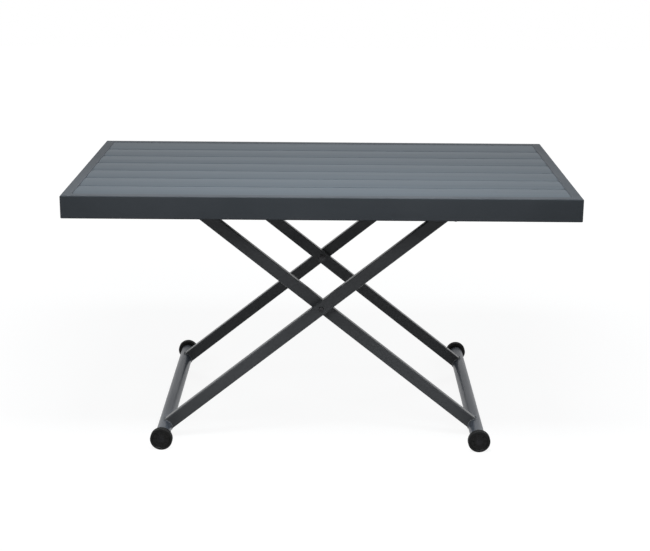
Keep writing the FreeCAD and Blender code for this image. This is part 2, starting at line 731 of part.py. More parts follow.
def leg_eye(leg_kind, side, sign):
    body = new_body(f"{leg_kind}_leg_eye_{side}")
    disc = new_sketch(body, "XZ_Plane")
    add_circle(disc, leg_reach, "0", "eye_radius")
    pad(body, disc, "leg_thickness")
    neck = new_sketch(body, "XZ_Plane")
    add_outline(neck, rectangle(f"{leg_reach} - eye_neck", "-eye_radius", leg_reach, "eye_radius"))
    pad(body, neck, "leg_thickness")
    spigot = new_sketch(body, "XZ_Plane")
    spigot_half = "(leg_width / 2 - leg_wall - seat_fit)"
    add_outline(spigot, rectangle(f"{leg_reach} - eye_neck - spigot_length", f"-{spigot_half}",
                                  f"{leg_reach} - eye_neck + leg_wall", spigot_half))
    pad(body, spigot, "leg_thickness - 2 * leg_wall - 2 * seat_fit")
    bore = new_sketch(body, "XZ_Plane")
    add_circle(bore, leg_reach, "0", "shaft_diameter / 2 + running_fit")
    pocket(body, bore, "4 * leg_thickness")
    return stand(body, leg_kind, sign)


hole_radius = {"outer": "bolt_diameter / 2 + seat_fit", "inner": "bush_diameter / 2 + seat_fit"}
for leg_kind in ("outer", "inner"):
    eyes = []
    for side, sign in sides.items():
        leg(leg_kind, side, sign, hole_radius[leg_kind])
        eyes.append(leg_eye(leg_kind, side, sign))
    keep(group(f"{leg_kind}_leg_eyes", *eyes), f"{leg_kind}_leg_eyes")

# Bolts, washers, bushes and nuts where the legs cross

bolts = []
washers = []
nuts = []
bushes = []
bolt_radius = "(bolt_diameter / 2)"
outer_face_y = f"({outer_leg_y} + leg_thickness / 2)"
inner_face_y = f"({inner_leg_y} - leg_thickness / 2)"
inner_washer_y = f"({inner_face_y} - side_gap - washer_thickness)"
nut_end_y = f"({inner_washer_y} - pivot_nut_height)"
bolt_full = f"({outer_face_y} + bolt_head_height - {nut_end_y} + bolt_tail)"
head_bevel = "(bolt_head_height / 2)"
for side, sign in sides.items():
    bolt_outline = [("0", "0"), (f"bolt_head / 2 - {head_bevel}", "0"), ("bolt_head / 2", head_bevel),
                    ("bolt_head / 2", "bolt_head_height"), (bolt_radius, "bolt_head_height"),
                    (bolt_radius, bolt_full), ("0", bolt_full)]
    bolt = turned(f"pivot_bolt_{side}", bolt_outline, ("0", "0", "0"), "Y")
    bolt.Placement = Placement(Vector(), Rotation(Vector(1, 0, 0), 90 * sign))
    place(bolt, "0", f"{sign} * ({outer_face_y} + bolt_head_height)", cross_z)
    bolts.append(bolt)
    washer_y = {"middle": f"({outer_face_y} - leg_thickness - washer_thickness)", "end": inner_washer_y}
    for label, low in washer_y.items():
        start = low if sign > 0 else f"-{low} - washer_thickness"
        washers.append(ring(f"pivot_washer_{label}_{side}", "washer_diameter / 2", f"{bolt_radius} + seat_fit",
                            "washer_thickness", ("0", start, cross_z), "Y"))
    bush_start = inner_face_y if sign > 0 else f"-{inner_face_y} - leg_thickness"
    bushes.append(ring(f"pivot_bush_{side}", "bush_diameter / 2", f"{bolt_radius} + running_fit", "leg_thickness",
                       ("0", bush_start, cross_z), "Y"))
    nut_start = nut_end_y if sign > 0 else f"-{inner_washer_y}"
    nut_blank = hexagon(f"pivot_nut_{side}_blank", "pivot_nut_flats", "pivot_nut_height",
                        ("0", nut_start, cross_z), "Y")
    nut_bore = rod(f"pivot_nut_{side}_bore", f"{bolt_radius} + seat_fit", "pivot_nut_height",
                   ("0", nut_start, cross_z), "Y")
    nuts.append(cut(f"pivot_nut_{side}", nut_blank, nut_bore))
keep(group("pivot_bolts", *bolts), "pivot_bolts")
keep(group("pivot_washers", *washers), "pivot_washers")
keep(group("pivot_nuts", *nuts), "pivot_nuts")
keep(group("pivot_bushes", *bushes), "pivot_bushes")

# Feet: a round tube with an end plug on each side, an axle through it and a roller on each end

axle_radius = "(axle_diameter / 2)"
axle_bore = f"({axle_radius} + running_fit)"
for end, end_sign in (("left", "-"), ("right", "")):
    foot_x = f"{end_sign}{half_foot}"
    keep(ring(f"{end}_foot_tube", tube_radius, tube_bore, f"2 * {tube_half}", (foot_x, f"-{tube_half}", foot_z), "Y"),
         f"{end}_foot_tube")

    plugs = []
    for side, sign in sides.items():
        spigot = f"({tube_bore} - seat_fit)"
        plug_end = "(plug_flange + plug_length)"
        plug_points = [(axle_bore, "0"), (tube_radius, "0"), (tube_radius, "plug_flange"), (spigot, "plug_flange"),
                       (spigot, plug_end), (axle_bore, plug_end)]
        plug = turned(f"{end}_foot_plug_{side}", plug_points, ("0", "0", "0"), "Y")
        plug.Placement = Placement(Vector(), Rotation(Vector(1, 0, 0), 90 * sign))
        place(plug, foot_x, f"{sign} * {plug_outer_y}", foot_z)
        plugs.append(plug)
    keep(group(f"{end}_foot_plugs", *plugs), f"{end}_foot_plugs")

    head = "(axle_head / 2)"
    axle_outline = [("0", f"-{roller_outer_y}"), (head, f"-{roller_outer_y}"), (head, f"-{axle_neck_y}"),
                    (axle_radius, f"-{axle_neck_y}"), (axle_radius, axle_neck_y), (head, axle_neck_y),
                    (head, roller_outer_y), ("0", roller_outer_y)]
    keep(turned(f"{end}_axle", axle_outline, (foot_x, "0", foot_z), "Y"), f"{end}_axle")

    for side, sign in sides.items():
        # drawn from the outer face inwards: rim, dished ring, hub, bore
        rim = "(roller_diameter / 2 - roller_rim)"
        hub = "(hub_diameter / 2)"
        full = "(roller_diameter / 2)"
        wheel_points = [(axle_bore, hub_depth), (hub, hub_depth), (f"{hub} + 1", "roller_dish"),
                        (f"{rim} - 1", "roller_dish"), (rim, "0"), (f"{full} - roller_edge", "0"),
                        (full, "roller_edge"), (full, "roller_width - roller_edge"),
                        (f"{full} - roller_edge", "roller_width"), (axle_bore, "roller_width")]
        roller = turned(f"roller_{side}_{end}", wheel_points, ("0", "0", "0"), "Y")
        roller.Placement = Placement(Vector(), Rotation(Vector(1, 0, 0), 90 * sign))
        place(roller, foot_x, f"{sign} * {roller_outer_y}", foot_z)
        keep(roller, f"roller_{side}_{end}")

# Every object has to be sound before anything is written

doc.recompute()
for item in doc.Objects:
    if {"Invalid", "Error"} & set(item.State):
        raise RuntimeError(f"{item.Label} failed: {item.State}")
for item in parts:
    if item.Shape.isNull() or not item.Shape.isValid():
        raise RuntimeError(f"{item.Label} has no valid shape")

os.makedirs("parts", exist_ok=True)
for item in parts:
    item.Shape.exportStep(f"parts/{item.Label}.step")
print(f"{len(parts)} parts, pivot height {value(pivot_z):.3f}, crossing height {value(cross_z):.3f}")
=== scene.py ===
import json
import math
import bmesh
import bpy
from mathutils import Matrix, Vector


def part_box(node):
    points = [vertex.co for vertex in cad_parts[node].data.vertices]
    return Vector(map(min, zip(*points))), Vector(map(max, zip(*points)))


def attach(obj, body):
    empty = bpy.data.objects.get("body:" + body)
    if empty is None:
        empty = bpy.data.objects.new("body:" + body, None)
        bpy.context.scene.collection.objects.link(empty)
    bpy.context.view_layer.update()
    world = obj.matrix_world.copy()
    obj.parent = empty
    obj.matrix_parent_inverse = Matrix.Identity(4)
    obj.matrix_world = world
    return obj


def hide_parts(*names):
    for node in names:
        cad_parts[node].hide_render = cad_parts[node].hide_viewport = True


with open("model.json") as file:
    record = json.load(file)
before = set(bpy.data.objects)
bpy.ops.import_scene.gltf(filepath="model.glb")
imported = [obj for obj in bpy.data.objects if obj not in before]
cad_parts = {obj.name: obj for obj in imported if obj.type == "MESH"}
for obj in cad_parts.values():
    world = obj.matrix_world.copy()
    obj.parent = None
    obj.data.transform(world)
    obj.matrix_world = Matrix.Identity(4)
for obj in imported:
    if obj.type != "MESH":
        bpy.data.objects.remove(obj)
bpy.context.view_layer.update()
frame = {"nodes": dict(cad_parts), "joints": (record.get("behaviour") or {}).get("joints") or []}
nodes = frame["nodes"]
scene = bpy.context.scene
print("frame loaded:", len(nodes), "nodes")

# the linkage, read off the joints of the frame
jointAt = {joint["name"]: Vector(joint["pos_m"]) for joint in frame["joints"] if "pos_m" in joint}
footLeft = jointAt["fold"]
footRight = Vector((-footLeft.x, 0, footLeft.z))
topHinge = jointAt["top_hinge"]
crossing = jointAt["leg_crossing"]
leverAt = jointAt["release"]
legLean = math.atan2(topHinge.z - footLeft.z, topHinge.x - footLeft.x)
legReach = (topHinge - footLeft).length


# finishes: each runs from a deep tone to a pale one; along scales its clouds or lines on each axis

coatLook = {
    "apron": {"deep": (0.064, 0.071, 0.079), "pale": (0.080, 0.087, 0.096), "rough": (0.42, 0.47),
              "gloss": 0.02, "along": (1.0, 1.0, 1.0)},
    "slat": {"deep": (0.067, 0.082, 0.096), "pale": (0.082, 0.099, 0.114), "rough": (0.40, 0.45),
             "gloss": 0.06, "along": (0.12, 16.0, 4.0)},
    "leg": {"deep": (0.112, 0.114, 0.118), "pale": (0.130, 0.132, 0.137), "rough": (0.18, 0.24),
            "gloss": 0.09, "along": (1.0, 1.0, 1.0)},
    "foot": {"deep": (0.069, 0.078, 0.094), "pale": (0.084, 0.094, 0.112), "rough": (0.32, 0.38),
             "gloss": 0.28, "along": (4.0, 0.5, 4.0)},
    # weld: paler and glossier than the foot coat, a painted highlight at the joints that also lifts their
    # shade
    "weld": {"deep": (0.105, 0.112, 0.122), "pale": (0.190, 0.196, 0.204), "rough": (0.30, 0.42),
             "gloss": 0.40, "along": (40.0, 40.0, 40.0)},
    "bracket": {"deep": (0.010, 0.010, 0.011), "pale": (0.016, 0.016, 0.018), "rough": (0.34, 0.46),
                "gloss": 0.40, "along": (1.0, 1.0, 1.0)},
}
coatGrain = {"cloudScale": 4.0, "cloudDetail": 4.0, "patchScale": 12.0, "patchDetail": 2.0,
             "scale": 1400.0, "detail": 2.0, "bump": 0.08, "depth": 0.0003}

plasticLook = {
    "roller": {"deep": (0.005, 0.005, 0.005), "pale": (0.009, 0.009, 0.009), "rough": (0.46, 0.56),
               "gloss": 0.2, "grainScale": 1800.0, "bump": 0.14},
    "tread": {"deep": (0.006, 0.006, 0.006), "pale": (0.011, 0.011, 0.011), "rough": (0.55, 0.70),
              "gloss": 0.2, "grainScale": 900.0, "bump": 0.25},
    "nylon": {"deep": (0.010, 0.010, 0.010), "pale": (0.016, 0.016, 0.016), "rough": (0.42, 0.55),
              "gloss": 0.3, "grainScale": 1800.0, "bump": 0.14},
    "grip": {"deep": (0.012, 0.012, 0.013), "pale": (0.020, 0.020, 0.021), "rough": (0.50, 0.62),
             "gloss": 0.3, "grainScale": 2400.0, "bump": 0.2},
}
plasticGrain = {"cloudScale": 40.0, "cloudDetail": 3.0, "detail": 2.0, "depth": 0.0003}

metalLook = {
    "rail": {"deep": (0.44, 0.45, 0.46), "pale": (0.56, 0.57, 0.58), "rough": (0.30, 0.42),
             "along": (60.0, 900.0, 900.0), "bump": 0.05},
    "crossbar": {"deep": (0.42, 0.43, 0.44), "pale": (0.54, 0.55, 0.56), "rough": (0.32, 0.44),
                 "along": (900.0, 30.0, 900.0), "bump": 0.05},
    "zinc": {"deep": (0.46, 0.46, 0.45), "pale": (0.60, 0.60, 0.58), "rough": (0.24, 0.36),
             "along": (500.0, 40.0, 500.0), "bump": 0.012},
    "axle": {"deep": (0.014, 0.014, 0.015), "pale": (0.026, 0.026, 0.028), "rough": (0.34, 0.48),
             "along": (260.0, 260.0, 260.0), "bump": 0.05},
    "pivot": {"deep": (0.034, 0.034, 0.036), "pale": (0.050, 0.050, 0.053), "rough": (0.40, 0.52),
              "along": (260.0, 260.0, 260.0), "bump": 0.05},
    "rod": {"deep": (0.62, 0.62, 0.63), "pale": (0.70, 0.70, 0.71), "rough": (0.06, 0.11),
            "along": (900.0, 40.0, 40.0), "bump": 0.003},
}
metalGrain = {"scale": 1.0, "detail": 3.0, "depth": 0.0002}

toneSpan = (0.3, 0.7)  # the part of a noise that tone and roughness are spread over


def startMaterial(name):
    mat = bpy.data.materials.new(name)
    mat.use_nodes = True
    nodeTree = mat.node_tree
    shader = nodeTree.nodes["Principled BSDF"]
    coords = nodeTree.nodes.new("ShaderNodeTexCoord")
    return mat, nodeTree, shader, coords.outputs["Object"]


def addNoise(nodeTree, place, scale, detail, along=None):
    if along is not None:
        mapping = nodeTree.nodes.new("ShaderNodeMapping")
        mapping.inputs["Scale"].default_value = along
        nodeTree.links.new(place, mapping.inputs["Vector"])
        place = mapping.outputs["Vector"]
    noise = nodeTree.nodes.new("ShaderNodeTexNoise")
    noise.inputs["Scale"].default_value = scale
    noise.inputs["Detail"].default_value = detail
    nodeTree.links.new(place, noise.inputs["Vector"])
    return noise.outputs["Fac"]


def addRange(nodeTree, value, fromSpan, toSpan):
    remap = nodeTree.nodes.new("ShaderNodeMapRange")
    remap.inputs["From Min"].default_value = fromSpan[0]
    remap.inputs["From Max"].default_value = fromSpan[1]
    remap.inputs["To Min"].default_value = toSpan[0]
    remap.inputs["To Max"].default_value = toSpan[1]
    nodeTree.links.new(value, remap.inputs["Value"])
    return remap.outputs["Result"]


def addTones(nodeTree, value, deep, pale):
    ramp = nodeTree.nodes.new("ShaderNodeValToRGB")
    for stop, position, tone in zip(ramp.color_ramp.elements, toneSpan, (deep, pale)):
        stop.position = position
        stop.color = (*tone, 1)
    nodeTree.links.new(value, ramp.inputs["Fac"])
    return ramp.outputs["Color"]


def addBump(nodeTree, shader, height, strength, depth):
    bump = nodeTree.nodes.new("ShaderNodeBump")
    bump.inputs["Strength"].default_value = strength
    bump.inputs["Distance"].default_value = depth
    nodeTree.links.new(height, bump.inputs["Height"])
    nodeTree.links.new(bump.outputs["Normal"], shader.inputs["Normal"])


def dressShader(nodeTree, shader, look, toneNoise, roughNoise):
    tones = addTones(nodeTree, toneNoise, look["deep"], look["pale"])
    nodeTree.links.new(tones, shader.inputs["Base Color"])
    rough = addRange(nodeTree, roughNoise, toneSpan, look["rough"])
    nodeTree.links.new(rough, shader.inputs["Roughness"])


def powderCoat(name, look):
    # clouds of tone, patches of more and less sheen, and a fine grain
    mat, nodeTree, shader, place = startMaterial(name)
    cloud = addNoise(nodeTree, place, coatGrain["cloudScale"], coatGrain["cloudDetail"], look["along"])
    patchy = addNoise(nodeTree, place, coatGrain["patchScale"], coatGrain["patchDetail"], look["along"])
    dressShader(nodeTree, shader, look, cloud, patchy)
    grain = addNoise(nodeTree, place, coatGrain["scale"], coatGrain["detail"])
    addBump(nodeTree, shader, grain, coatGrain["bump"], coatGrain["depth"])
    shader.inputs["Specular IOR Level"].default_value = look["gloss"]
    return mat


def mouldedPlastic(name, look):
    mat, nodeTree, shader, place = startMaterial(name)
    cloud = addNoise(nodeTree, place, plasticGrain["cloudScale"], plasticGrain["cloudDetail"])
    dressShader(nodeTree, shader, look, cloud, cloud)
    grain = addNoise(nodeTree, place, look["grainScale"], plasticGrain["detail"])
    addBump(nodeTree, shader, grain, look["bump"], plasticGrain["depth"])
    shader.inputs["Specular IOR Level"].default_value = look["gloss"]
    return mat


def bareMetal(name, look):
    # fine lines along the way the metal was drawn
    mat, nodeTree, shader, place = startMaterial(name)
    lines = addNoise(nodeTree, place, metalGrain["scale"], metalGrain["detail"], look["along"])
    dressShader(nodeTree, shader, look, lines, lines)
    addBump(nodeTree, shader, lines, look["bump"], metalGrain["depth"])
    shader.inputs["Metallic"].default_value = 1.0
    return mat


apronCoat = powderCoat("apron_powder_coat", coatLook["apron"])
slatCoat = powderCoat("slat_powder_coat", coatLook["slat"])
legCoat = powderCoat("leg_powder_coat", coatLook["leg"])
footCoat = powderCoat("foot_tube_coat", coatLook["foot"])
# the weld beads carry a painted highlight: their coat is paler than the tube's
weldHighlightCoat = powderCoat("weld_bead_painted_highlight", coatLook["weld"])
blackPaint = powderCoat("bracket_black_paint", coatLook["bracket"])
rollerBlack = mouldedPlastic("roller_moulding", plasticLook["roller"])
treadRubber = mouldedPlastic("roller_tread_rubber", plasticLook["tread"])
nylonBlack = mouldedPlastic("nylon_moulding", plasticLook["nylon"])
gripPlastic = mouldedPlastic("grip_moulding", plasticLook["grip"])
millAluminium = bareMetal("mill_aluminium", metalLook["rail"])
barAluminium = bareMetal("crossbar_aluminium", metalLook["crossbar"])
zincPlate = bareMetal("zinc_plate", metalLook["zinc"])
blackSteel = bareMetal("black_oxide_steel", metalLook["axle"])
pivotSteel = bareMetal("pivot_black_steel", metalLook["pivot"])
chromeRod = bareMetal("chromed_rod", metalLook["rod"])
print("finishes made:", len(bpy.data.materials))


# helpers that turn a bmesh into a finished piece

smoothAngle = math.radians(40)
mergeGap = 1e-6  # points this near are one point
nearEnough = 1e-5  # slack when edges are picked out by their place
alongShare = 0.99  # an edge runs along an axis when this much of its length does
turnSteps = 48  # round a small turned part
softSteps = 2  # in a small rounded edge
axisX, axisY = 0, 1


def finishPiece(name, bm, mat, body, replaced=()):
    bmesh.ops.remove_doubles(bm, verts=bm.verts, dist=mergeGap)
    bmesh.ops.recalc_face_normals(bm, faces=bm.faces)
    mesh = bpy.data.meshes.new(name)
    bm.to_mesh(mesh)
    bm.free()
    for face in mesh.polygons:
        face.use_smooth = True
    mesh.set_sharp_from_angle(angle=smoothAngle)
    mesh.materials.append(mat)
    piece = bpy.data.objects.new(name, mesh)
    scene.collection.objects.link(piece)
    even = piece.modifiers.new("even_normals", "WEIGHTED_NORMAL")
    even.keep_sharp = True
    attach(piece, body)
    if replaced:
        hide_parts(*replaced)


def middleOf(node):
    low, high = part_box(node)
    return (low + high) / 2


def bevelEdges(bm, edges, radius, segments):
    bmesh.ops.bevel(bm, geom=edges, offset=radius, segments=segments, profile=0.5, affect="EDGES",
                    material=-1)


def addBar(bm, low, high):
    made = bmesh.ops.create_cube(bm, size=1)["verts"]
    bmesh.ops.scale(bm, vec=Vector(high) - Vector(low), verts=made)
    bmesh.ops.translate(bm, vec=(Vector(high) + Vector(low)) / 2, verts=made)


def edgesAlong(bm, axis):
    found = []
    for edge in bm.edges:
        step = edge.verts[1].co - edge.verts[0].co
        if abs(step[axis]) > alongShare * step.length:
            found.append(edge)
    return found


def cutAcross(bm, at, facing, dropOuter=False):
    geom = bm.verts[:] + bm.edges[:] + bm.faces[:]
    bmesh.ops.bisect_plane(bm, geom=geom, dist=mergeGap, plane_co=at, plane_no=facing, clear_outer=dropOuter)


def moveAll(bm, matrix):
    bmesh.ops.transform(bm, matrix=matrix, verts=bm.verts)


def joinInto(bm, part, matrix=Matrix.Identity(4)):
    # sets a finished part into a larger piece
    moveAll(part, matrix)
    bmesh.ops.recalc_face_normals(part, faces=part.faces)
    passing = bpy.data.meshes.new("passing")
    part.to_mesh(passing)
    part.free()
    bm.from_mesh(passing)
    bpy.data.meshes.remove(passing)


def addSoftBar(bm, low, high, edge, segments=softSteps):
    part = bmesh.new()
    addBar(part, low, high)
    bevelEdges(part, part.edges[:], edge, segments)
    joinInto(bm, part)


def addTurned(bm, profile, steps, closed=False):
    # profile holds (radius, height) pairs; it is spun round Z
    made = [bm.verts.new((radius, 0, height)) for radius, height in profile]
    edges = [bm.edges.new(pair) for pair in zip(made, made[1:])]
    if closed:
        edges.append(bm.edges.new((made[-1], made[0])))
    bmesh.ops.spin(bm, geom=made + edges, cent=(0, 0, 0), axis=(0, 0, 1), dvec=(0, 0, 0), angle=math.tau,
                   steps=steps, use_merge=True, use_normal_flip=False, use_duplicate=False)
    bmesh.ops.remove_doubles(bm, verts=bm.verts, dist=mergeGap)


def laid(axis, at):
    # lays a piece that was spun round Z along another axis
    turns = {"+Y": Matrix.Rotation(-math.pi / 2, 4, "X"), "-Y": Matrix.Rotation(math.pi / 2, 4, "X"),
             "+X": Matrix.Rotation(math.pi / 2, 4, "Y"), "-X": Matrix.Rotation(-math.pi / 2, 4, "Y"),
             "+Z": Matrix.Identity(4)}
    return Matrix.Translation(at) @ turns[axis]


def addTurnedAt(bm, profile, axis, at, steps=turnSteps, closed=False):
    part = bmesh.new()
    addTurned(part, profile, steps, closed)
    joinInto(bm, part, laid(axis, at))


def turnedPiece(name, profile, axis, at, mat, body, replaced, steps=turnSteps):
    bm = bmesh.new()
    addTurned(bm, profile, steps)
    moveAll(bm, laid(axis, at))
    finishPiece(name, bm, mat, body, replaced)


def arcPoints(centre, radius, fromDeg, toDeg, steps):
    points = []
    for step in range(steps + 1):
        angle = math.radians(fromDeg + (toDeg - fromDeg) * step / steps)
        points.append((centre[0] + radius * math.cos(angle), centre[1] + radius * math.sin(angle)))
    return points


def ringProfile(bore, outer, start, end, chamfer):
    # a closed outline with its two outer edges broken
    return [(bore, start), (outer - chamfer, start), (outer, start + chamfer), (outer, end - chamfer),
            (outer - chamfer, end), (bore, end)]


# frame of the top: mitred bars with a hairline groove at each mitre

apronShape = {"width": 0.025, "edge": 0.0025, "edgeSteps": 5, "mitreEdge": 0.0005, "ledgeReach": 0.012,
              "ledgeThick": 0.002, "ledgeBite": 0.001}
mitreShare = 0.5  # a mitre's face looks along the bar and across it by more than this


def makeApron(node, length, turn, outerFace, ledge):
    low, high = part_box(node)
    width, half = apronShape["width"], length / 2
    bm = bmesh.new()
    addBar(bm, (-half, 0, low.z), (half, width, high.z))
    for sign in (-1, 1):
        cutAcross(bm, (sign * half, 0, 0), (sign, 1, 0), dropOuter=True)
        bmesh.ops.holes_fill(bm, edges=[edge for edge in bm.edges if edge.is_boundary])
    bevelEdges(bm, edgesAlong(bm, axisX), apronShape["edge"], apronShape["edgeSteps"])
    bm.normal_update()
    mitres = [face for face in bm.faces if abs(face.normal.x) > mitreShare and face.normal.y > mitreShare]
    rims = [edge for edge in bm.edges if any(face in mitres for face in edge.link_faces)]
    bevelEdges(bm, rims, apronShape["mitreEdge"], softSteps)
    if ledge:
        # the ends of the slats rest on it
        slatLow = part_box("slat_1")[0].z
        reach = width + apronShape["ledgeReach"]
        addBar(bm, (reach - half, width - apronShape["ledgeBite"], slatLow - apronShape["ledgeThick"]),
               (half - reach, reach, slatLow))
    moveAll(bm, Matrix.Translation(outerFace) @ Matrix.Rotation(turn, 4, "Z"))
    finishPiece(f"{node}_bar", bm, apronCoat, "tabletop", [node])


topLow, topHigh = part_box("apron_front")[0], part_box("apron_back")[1]
topLength, topWidth = topHigh.x - topLow.x, topHigh.y - topLow.y
makeApron("apron_front", topLength, 0, (0, topLow.y, 0), ledge=False)
makeApron("apron_back", topLength, math.pi, (0, topHigh.y, 0), ledge=False)
makeApron("apron_left", topWidth, -math.pi / 2, (topLow.x, 0, 0), ledge=True)
makeApron("apron_right", topWidth, math.pi / 2, (topHigh.x, 0, 0), ledge=True)

# slats: slightly crowned boards with rounded long edges, so that a dark groove runs between them, closed
# below by a dark sheet that is painted shade

# the last three values place a thin dark sheet under each groove: painted shade standing in for the shade
# below the table
slatShape = {"count": 7, "edge": 0.0020, "edgeSteps": 4, "underEdge": 0.0006, "underSteps": 1,
             "crown": 0.0016, "crownSteps": 12, "shadeSheetLift": 0.0040, "shadeSheetThick": 0.0020,
             "shadeSheetBite": 0.0003}

for number in range(1, slatShape["count"] + 1):
    node = f"slat_{number}"
    low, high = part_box(node)
    middle, half = middleOf(node), (high.y - low.y) / 2
    isLast = number == slatShape["count"]
    bm = bmesh.new()
    addBar(bm, low, high)
    longEdges = edgesAlong(bm, axisX)
    upper = [edge for edge in longEdges if edge.verts[0].co.z > middle.z]
    lower = [edge for edge in longEdges if edge not in upper]
    bevelEdges(bm, upper, slatShape["edge"], slatShape["edgeSteps"])
    bevelEdges(bm, [edge for edge in lower if edge.is_valid], slatShape["underEdge"], slatShape["underSteps"])
    for step in range(1, slatShape["crownSteps"]):
        cutAt = low.y + 2 * half * step / slatShape["crownSteps"]
        cutAcross(bm, (0, cutAt, 0), (0, 1, 0))
    for vert in bm.verts:
        # the last board stays level up to the apron behind it
        isLevel = isLast and vert.co.y > middle.y
        if vert.co.z > high.z - 2 * slatShape["edge"] and not isLevel:
            vert.co.z -= slatShape["crown"] * ((vert.co.y - middle.y) / half) ** 2
    if not isLast:
        # a thin dark sheet closes the groove to the next board: painted shade, standing in for the shade
        # under the table seen through it
        shadeSheetLow = low.z + slatShape["shadeSheetLift"]
        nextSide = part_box(f"slat_{number + 1}")[0].y + slatShape["shadeSheetBite"]
        addBar(bm, (low.x, high.y - slatShape["shadeSheetBite"], shadeSheetLow),
               (high.x, nextSide, shadeSheetLow + slatShape["shadeSheetThick"]))
    finishPiece(f"{node}_board", bm, slatCoat, "tabletop", [node])
print("top made")

# legs: rectangular tubes with rounded corners, welded to the foot tubes

# the two sides of the table, and which way is out from its middle, or in, on each
sides = {"front": -1, "back": 1}
outward = {"front": "-Y", "back": "+Y"}
inward = {"front": "+Y", "back": "-Y"}
legShape = {"wide": 0.030, "thick": 0.020, "corner": 0.003, "cornerSteps": 5, "start": 0.011, "neck": 0.024,
            "rim": 0.0005}
tubeShape = {"radius": 0.0175, "wall": 0.0018, "chamfer": 0.0005, "steps": 96}
weldShape = {"radius": 0.0017, "roundness": 2, "ripple": 0.18, "ripples": 46, "points": 230, "sink": 0.0002}


def legFrame(kind, y):
    # X runs up the leg from the axis of its foot, and Z across it
    foot, lean = (footLeft, legLean) if kind == "outer" else (footRight, math.pi - legLean)
    return Matrix.Translation((foot.x, y, foot.z)) @ Matrix.Rotation(lean, 4, Vector((0, -1, 0)))


def makeLeg(kind, side):
    node = f"{kind}_leg_{side}"
    halfWide, halfThick = legShape["wide"] / 2, legShape["thick"] / 2
    end = legReach - legShape["neck"]
    bm = bmesh.new()
    addBar(bm, (legShape["start"], -halfThick, -halfWide), (end, halfThick, halfWide))
    bevelEdges(bm, edgesAlong(bm, axisX), legShape["corner"], legShape["cornerSteps"])
    rim = [edge for edge in bm.edges if min(vert.co.x for vert in edge.verts) > end - nearEnough]
    bevelEdges(bm, rim, legShape["rim"], softSteps)
    moveAll(bm, legFrame(kind, middleOf(node).y))
    finishPiece(f"{node}_tube", bm, legCoat, f"{kind}_legs", [node])


def weldPath():
    # even steps round the leg's outline, where it meets the foot tube
    corner = legShape["corner"]
    flatUp, flatOver = legShape["wide"] - 2 * corner, legShape["thick"] - 2 * corner
    flats = (flatUp, flatOver, flatUp, flatOver)
    centres = ((1, 1), (-1, 1), (-1, -1), (1, -1))
    arc = corner * math.pi / 2
    total = sum(flats) + len(flats) * arc
    points = []
    for index in range(weldShape["points"]):
        run = total * index / weldShape["points"]
        quarter = 0
        while run > flats[quarter] + arc:
            run -= flats[quarter] + arc
            quarter += 1
        toCorner = max(0, flats[quarter] - run)
        turn = quarter * math.pi / 2 + max(0, run - flats[quarter]) / corner
        y = centres[quarter][0] * flatOver / 2 + corner * math.cos(turn) + toCorner * math.sin(turn)
        z = centres[quarter][1] * flatUp / 2 + corner * math.sin(turn) - toCorner * math.cos(turn)
        x = math.sqrt(tubeShape["radius"] ** 2 - z * z)
        points.append(Vector((x + weldShape["sink"], y, z)))
    return points


def makeWeld(kind, side):
    node = f"{kind}_leg_{side}"
    place = legFrame(kind, middleOf(node).y)
    path = [place @ point for point in weldPath()]
    curve = bpy.data.curves.new("weld_path", "CURVE")
    curve.dimensions = "3D"
    curve.bevel_depth = weldShape["radius"]
    curve.bevel_resolution = weldShape["roundness"]
    spline = curve.splines.new("POLY")
    spline.points.add(len(path) - 1)
    spline.use_cyclic_u = True
    for index, point in enumerate(path):
        swell = math.sin(math.tau * weldShape["ripples"] * index / len(path))
        spline.points[index].co = (*point, 1)
        spline.points[index].radius = 1 + weldShape["ripple"] * swell
    holder = bpy.data.objects.new("weld_holder", curve)
    scene.collection.objects.link(holder)
    bpy.context.view_layer.update()
    bead = bpy.data.meshes.new_from_object(holder.evaluated_get(bpy.context.evaluated_depsgraph_get()))
    bm = bmesh.new()
    bm.from_mesh(bead)
    bpy.data.objects.remove(holder)
    bpy.data.curves.remove(curve)
    bpy.data.meshes.remove(bead)
    finishPiece(f"{node}_weld", bm, weldHighlightCoat, f"{kind}_legs")


for kind in ("outer", "inner"):
    for side in sides:
        makeLeg(kind, side)
        makeWeld(kind, side)
print("legs made")

# feet: round tubes with moulded end plugs

plugShape = {"flange": 0.003, "lip": 0.0006, "bore": 0.0056, "fit": 0.0002, "deep": 0.020}
feet = {"left": {"at": footLeft, "body": "outer_legs", "axleBody": "left_axle"},
        "right": {"at": footRight, "body": "inner_legs", "axleBody": "inner_legs"}}

for end, foot in feet.items():
    low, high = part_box(f"{end}_foot_tube")
    half, outer = (high.y - low.y) / 2, tubeShape["radius"]
    bore = outer - tubeShape["wall"]
    bm = bmesh.new()
    pipe = ringProfile(bore, outer, -half, half, tubeShape["chamfer"])
    addTurnedAt(bm, pipe, "+Y", foot["at"], tubeShape["steps"], closed=True)
    finishPiece(f"{end}_foot_pipe", bm, footCoat, foot["body"], [f"{end}_foot_tube"])

    low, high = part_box(f"{end}_foot_plugs")
    lip, flange, plugBore = plugShape["lip"], plugShape["flange"], plugShape["bore"]
    inside, plugEnd = bore - plugShape["fit"], flange + plugShape["deep"]
    plug = [(plugBore, 0), (outer - lip, 0), (outer, lip), (outer, flange), (inside, flange),
            (inside, plugEnd), (plugBore, plugEnd)]
    bm = bmesh.new()
    for axis, face in (("-Y", high.y), ("+Y", low.y)):
        addTurnedAt(bm, plug, axis, (foot["at"].x, face, foot["at"].z), tubeShape["steps"], closed=True)
    finishPiece(f"{end}_foot_plug_pair", bm, nylonBlack, foot["body"], [f"{end}_foot_plugs"])

# rollers: a rubber tread on a moulded wheel with ribs in its dish

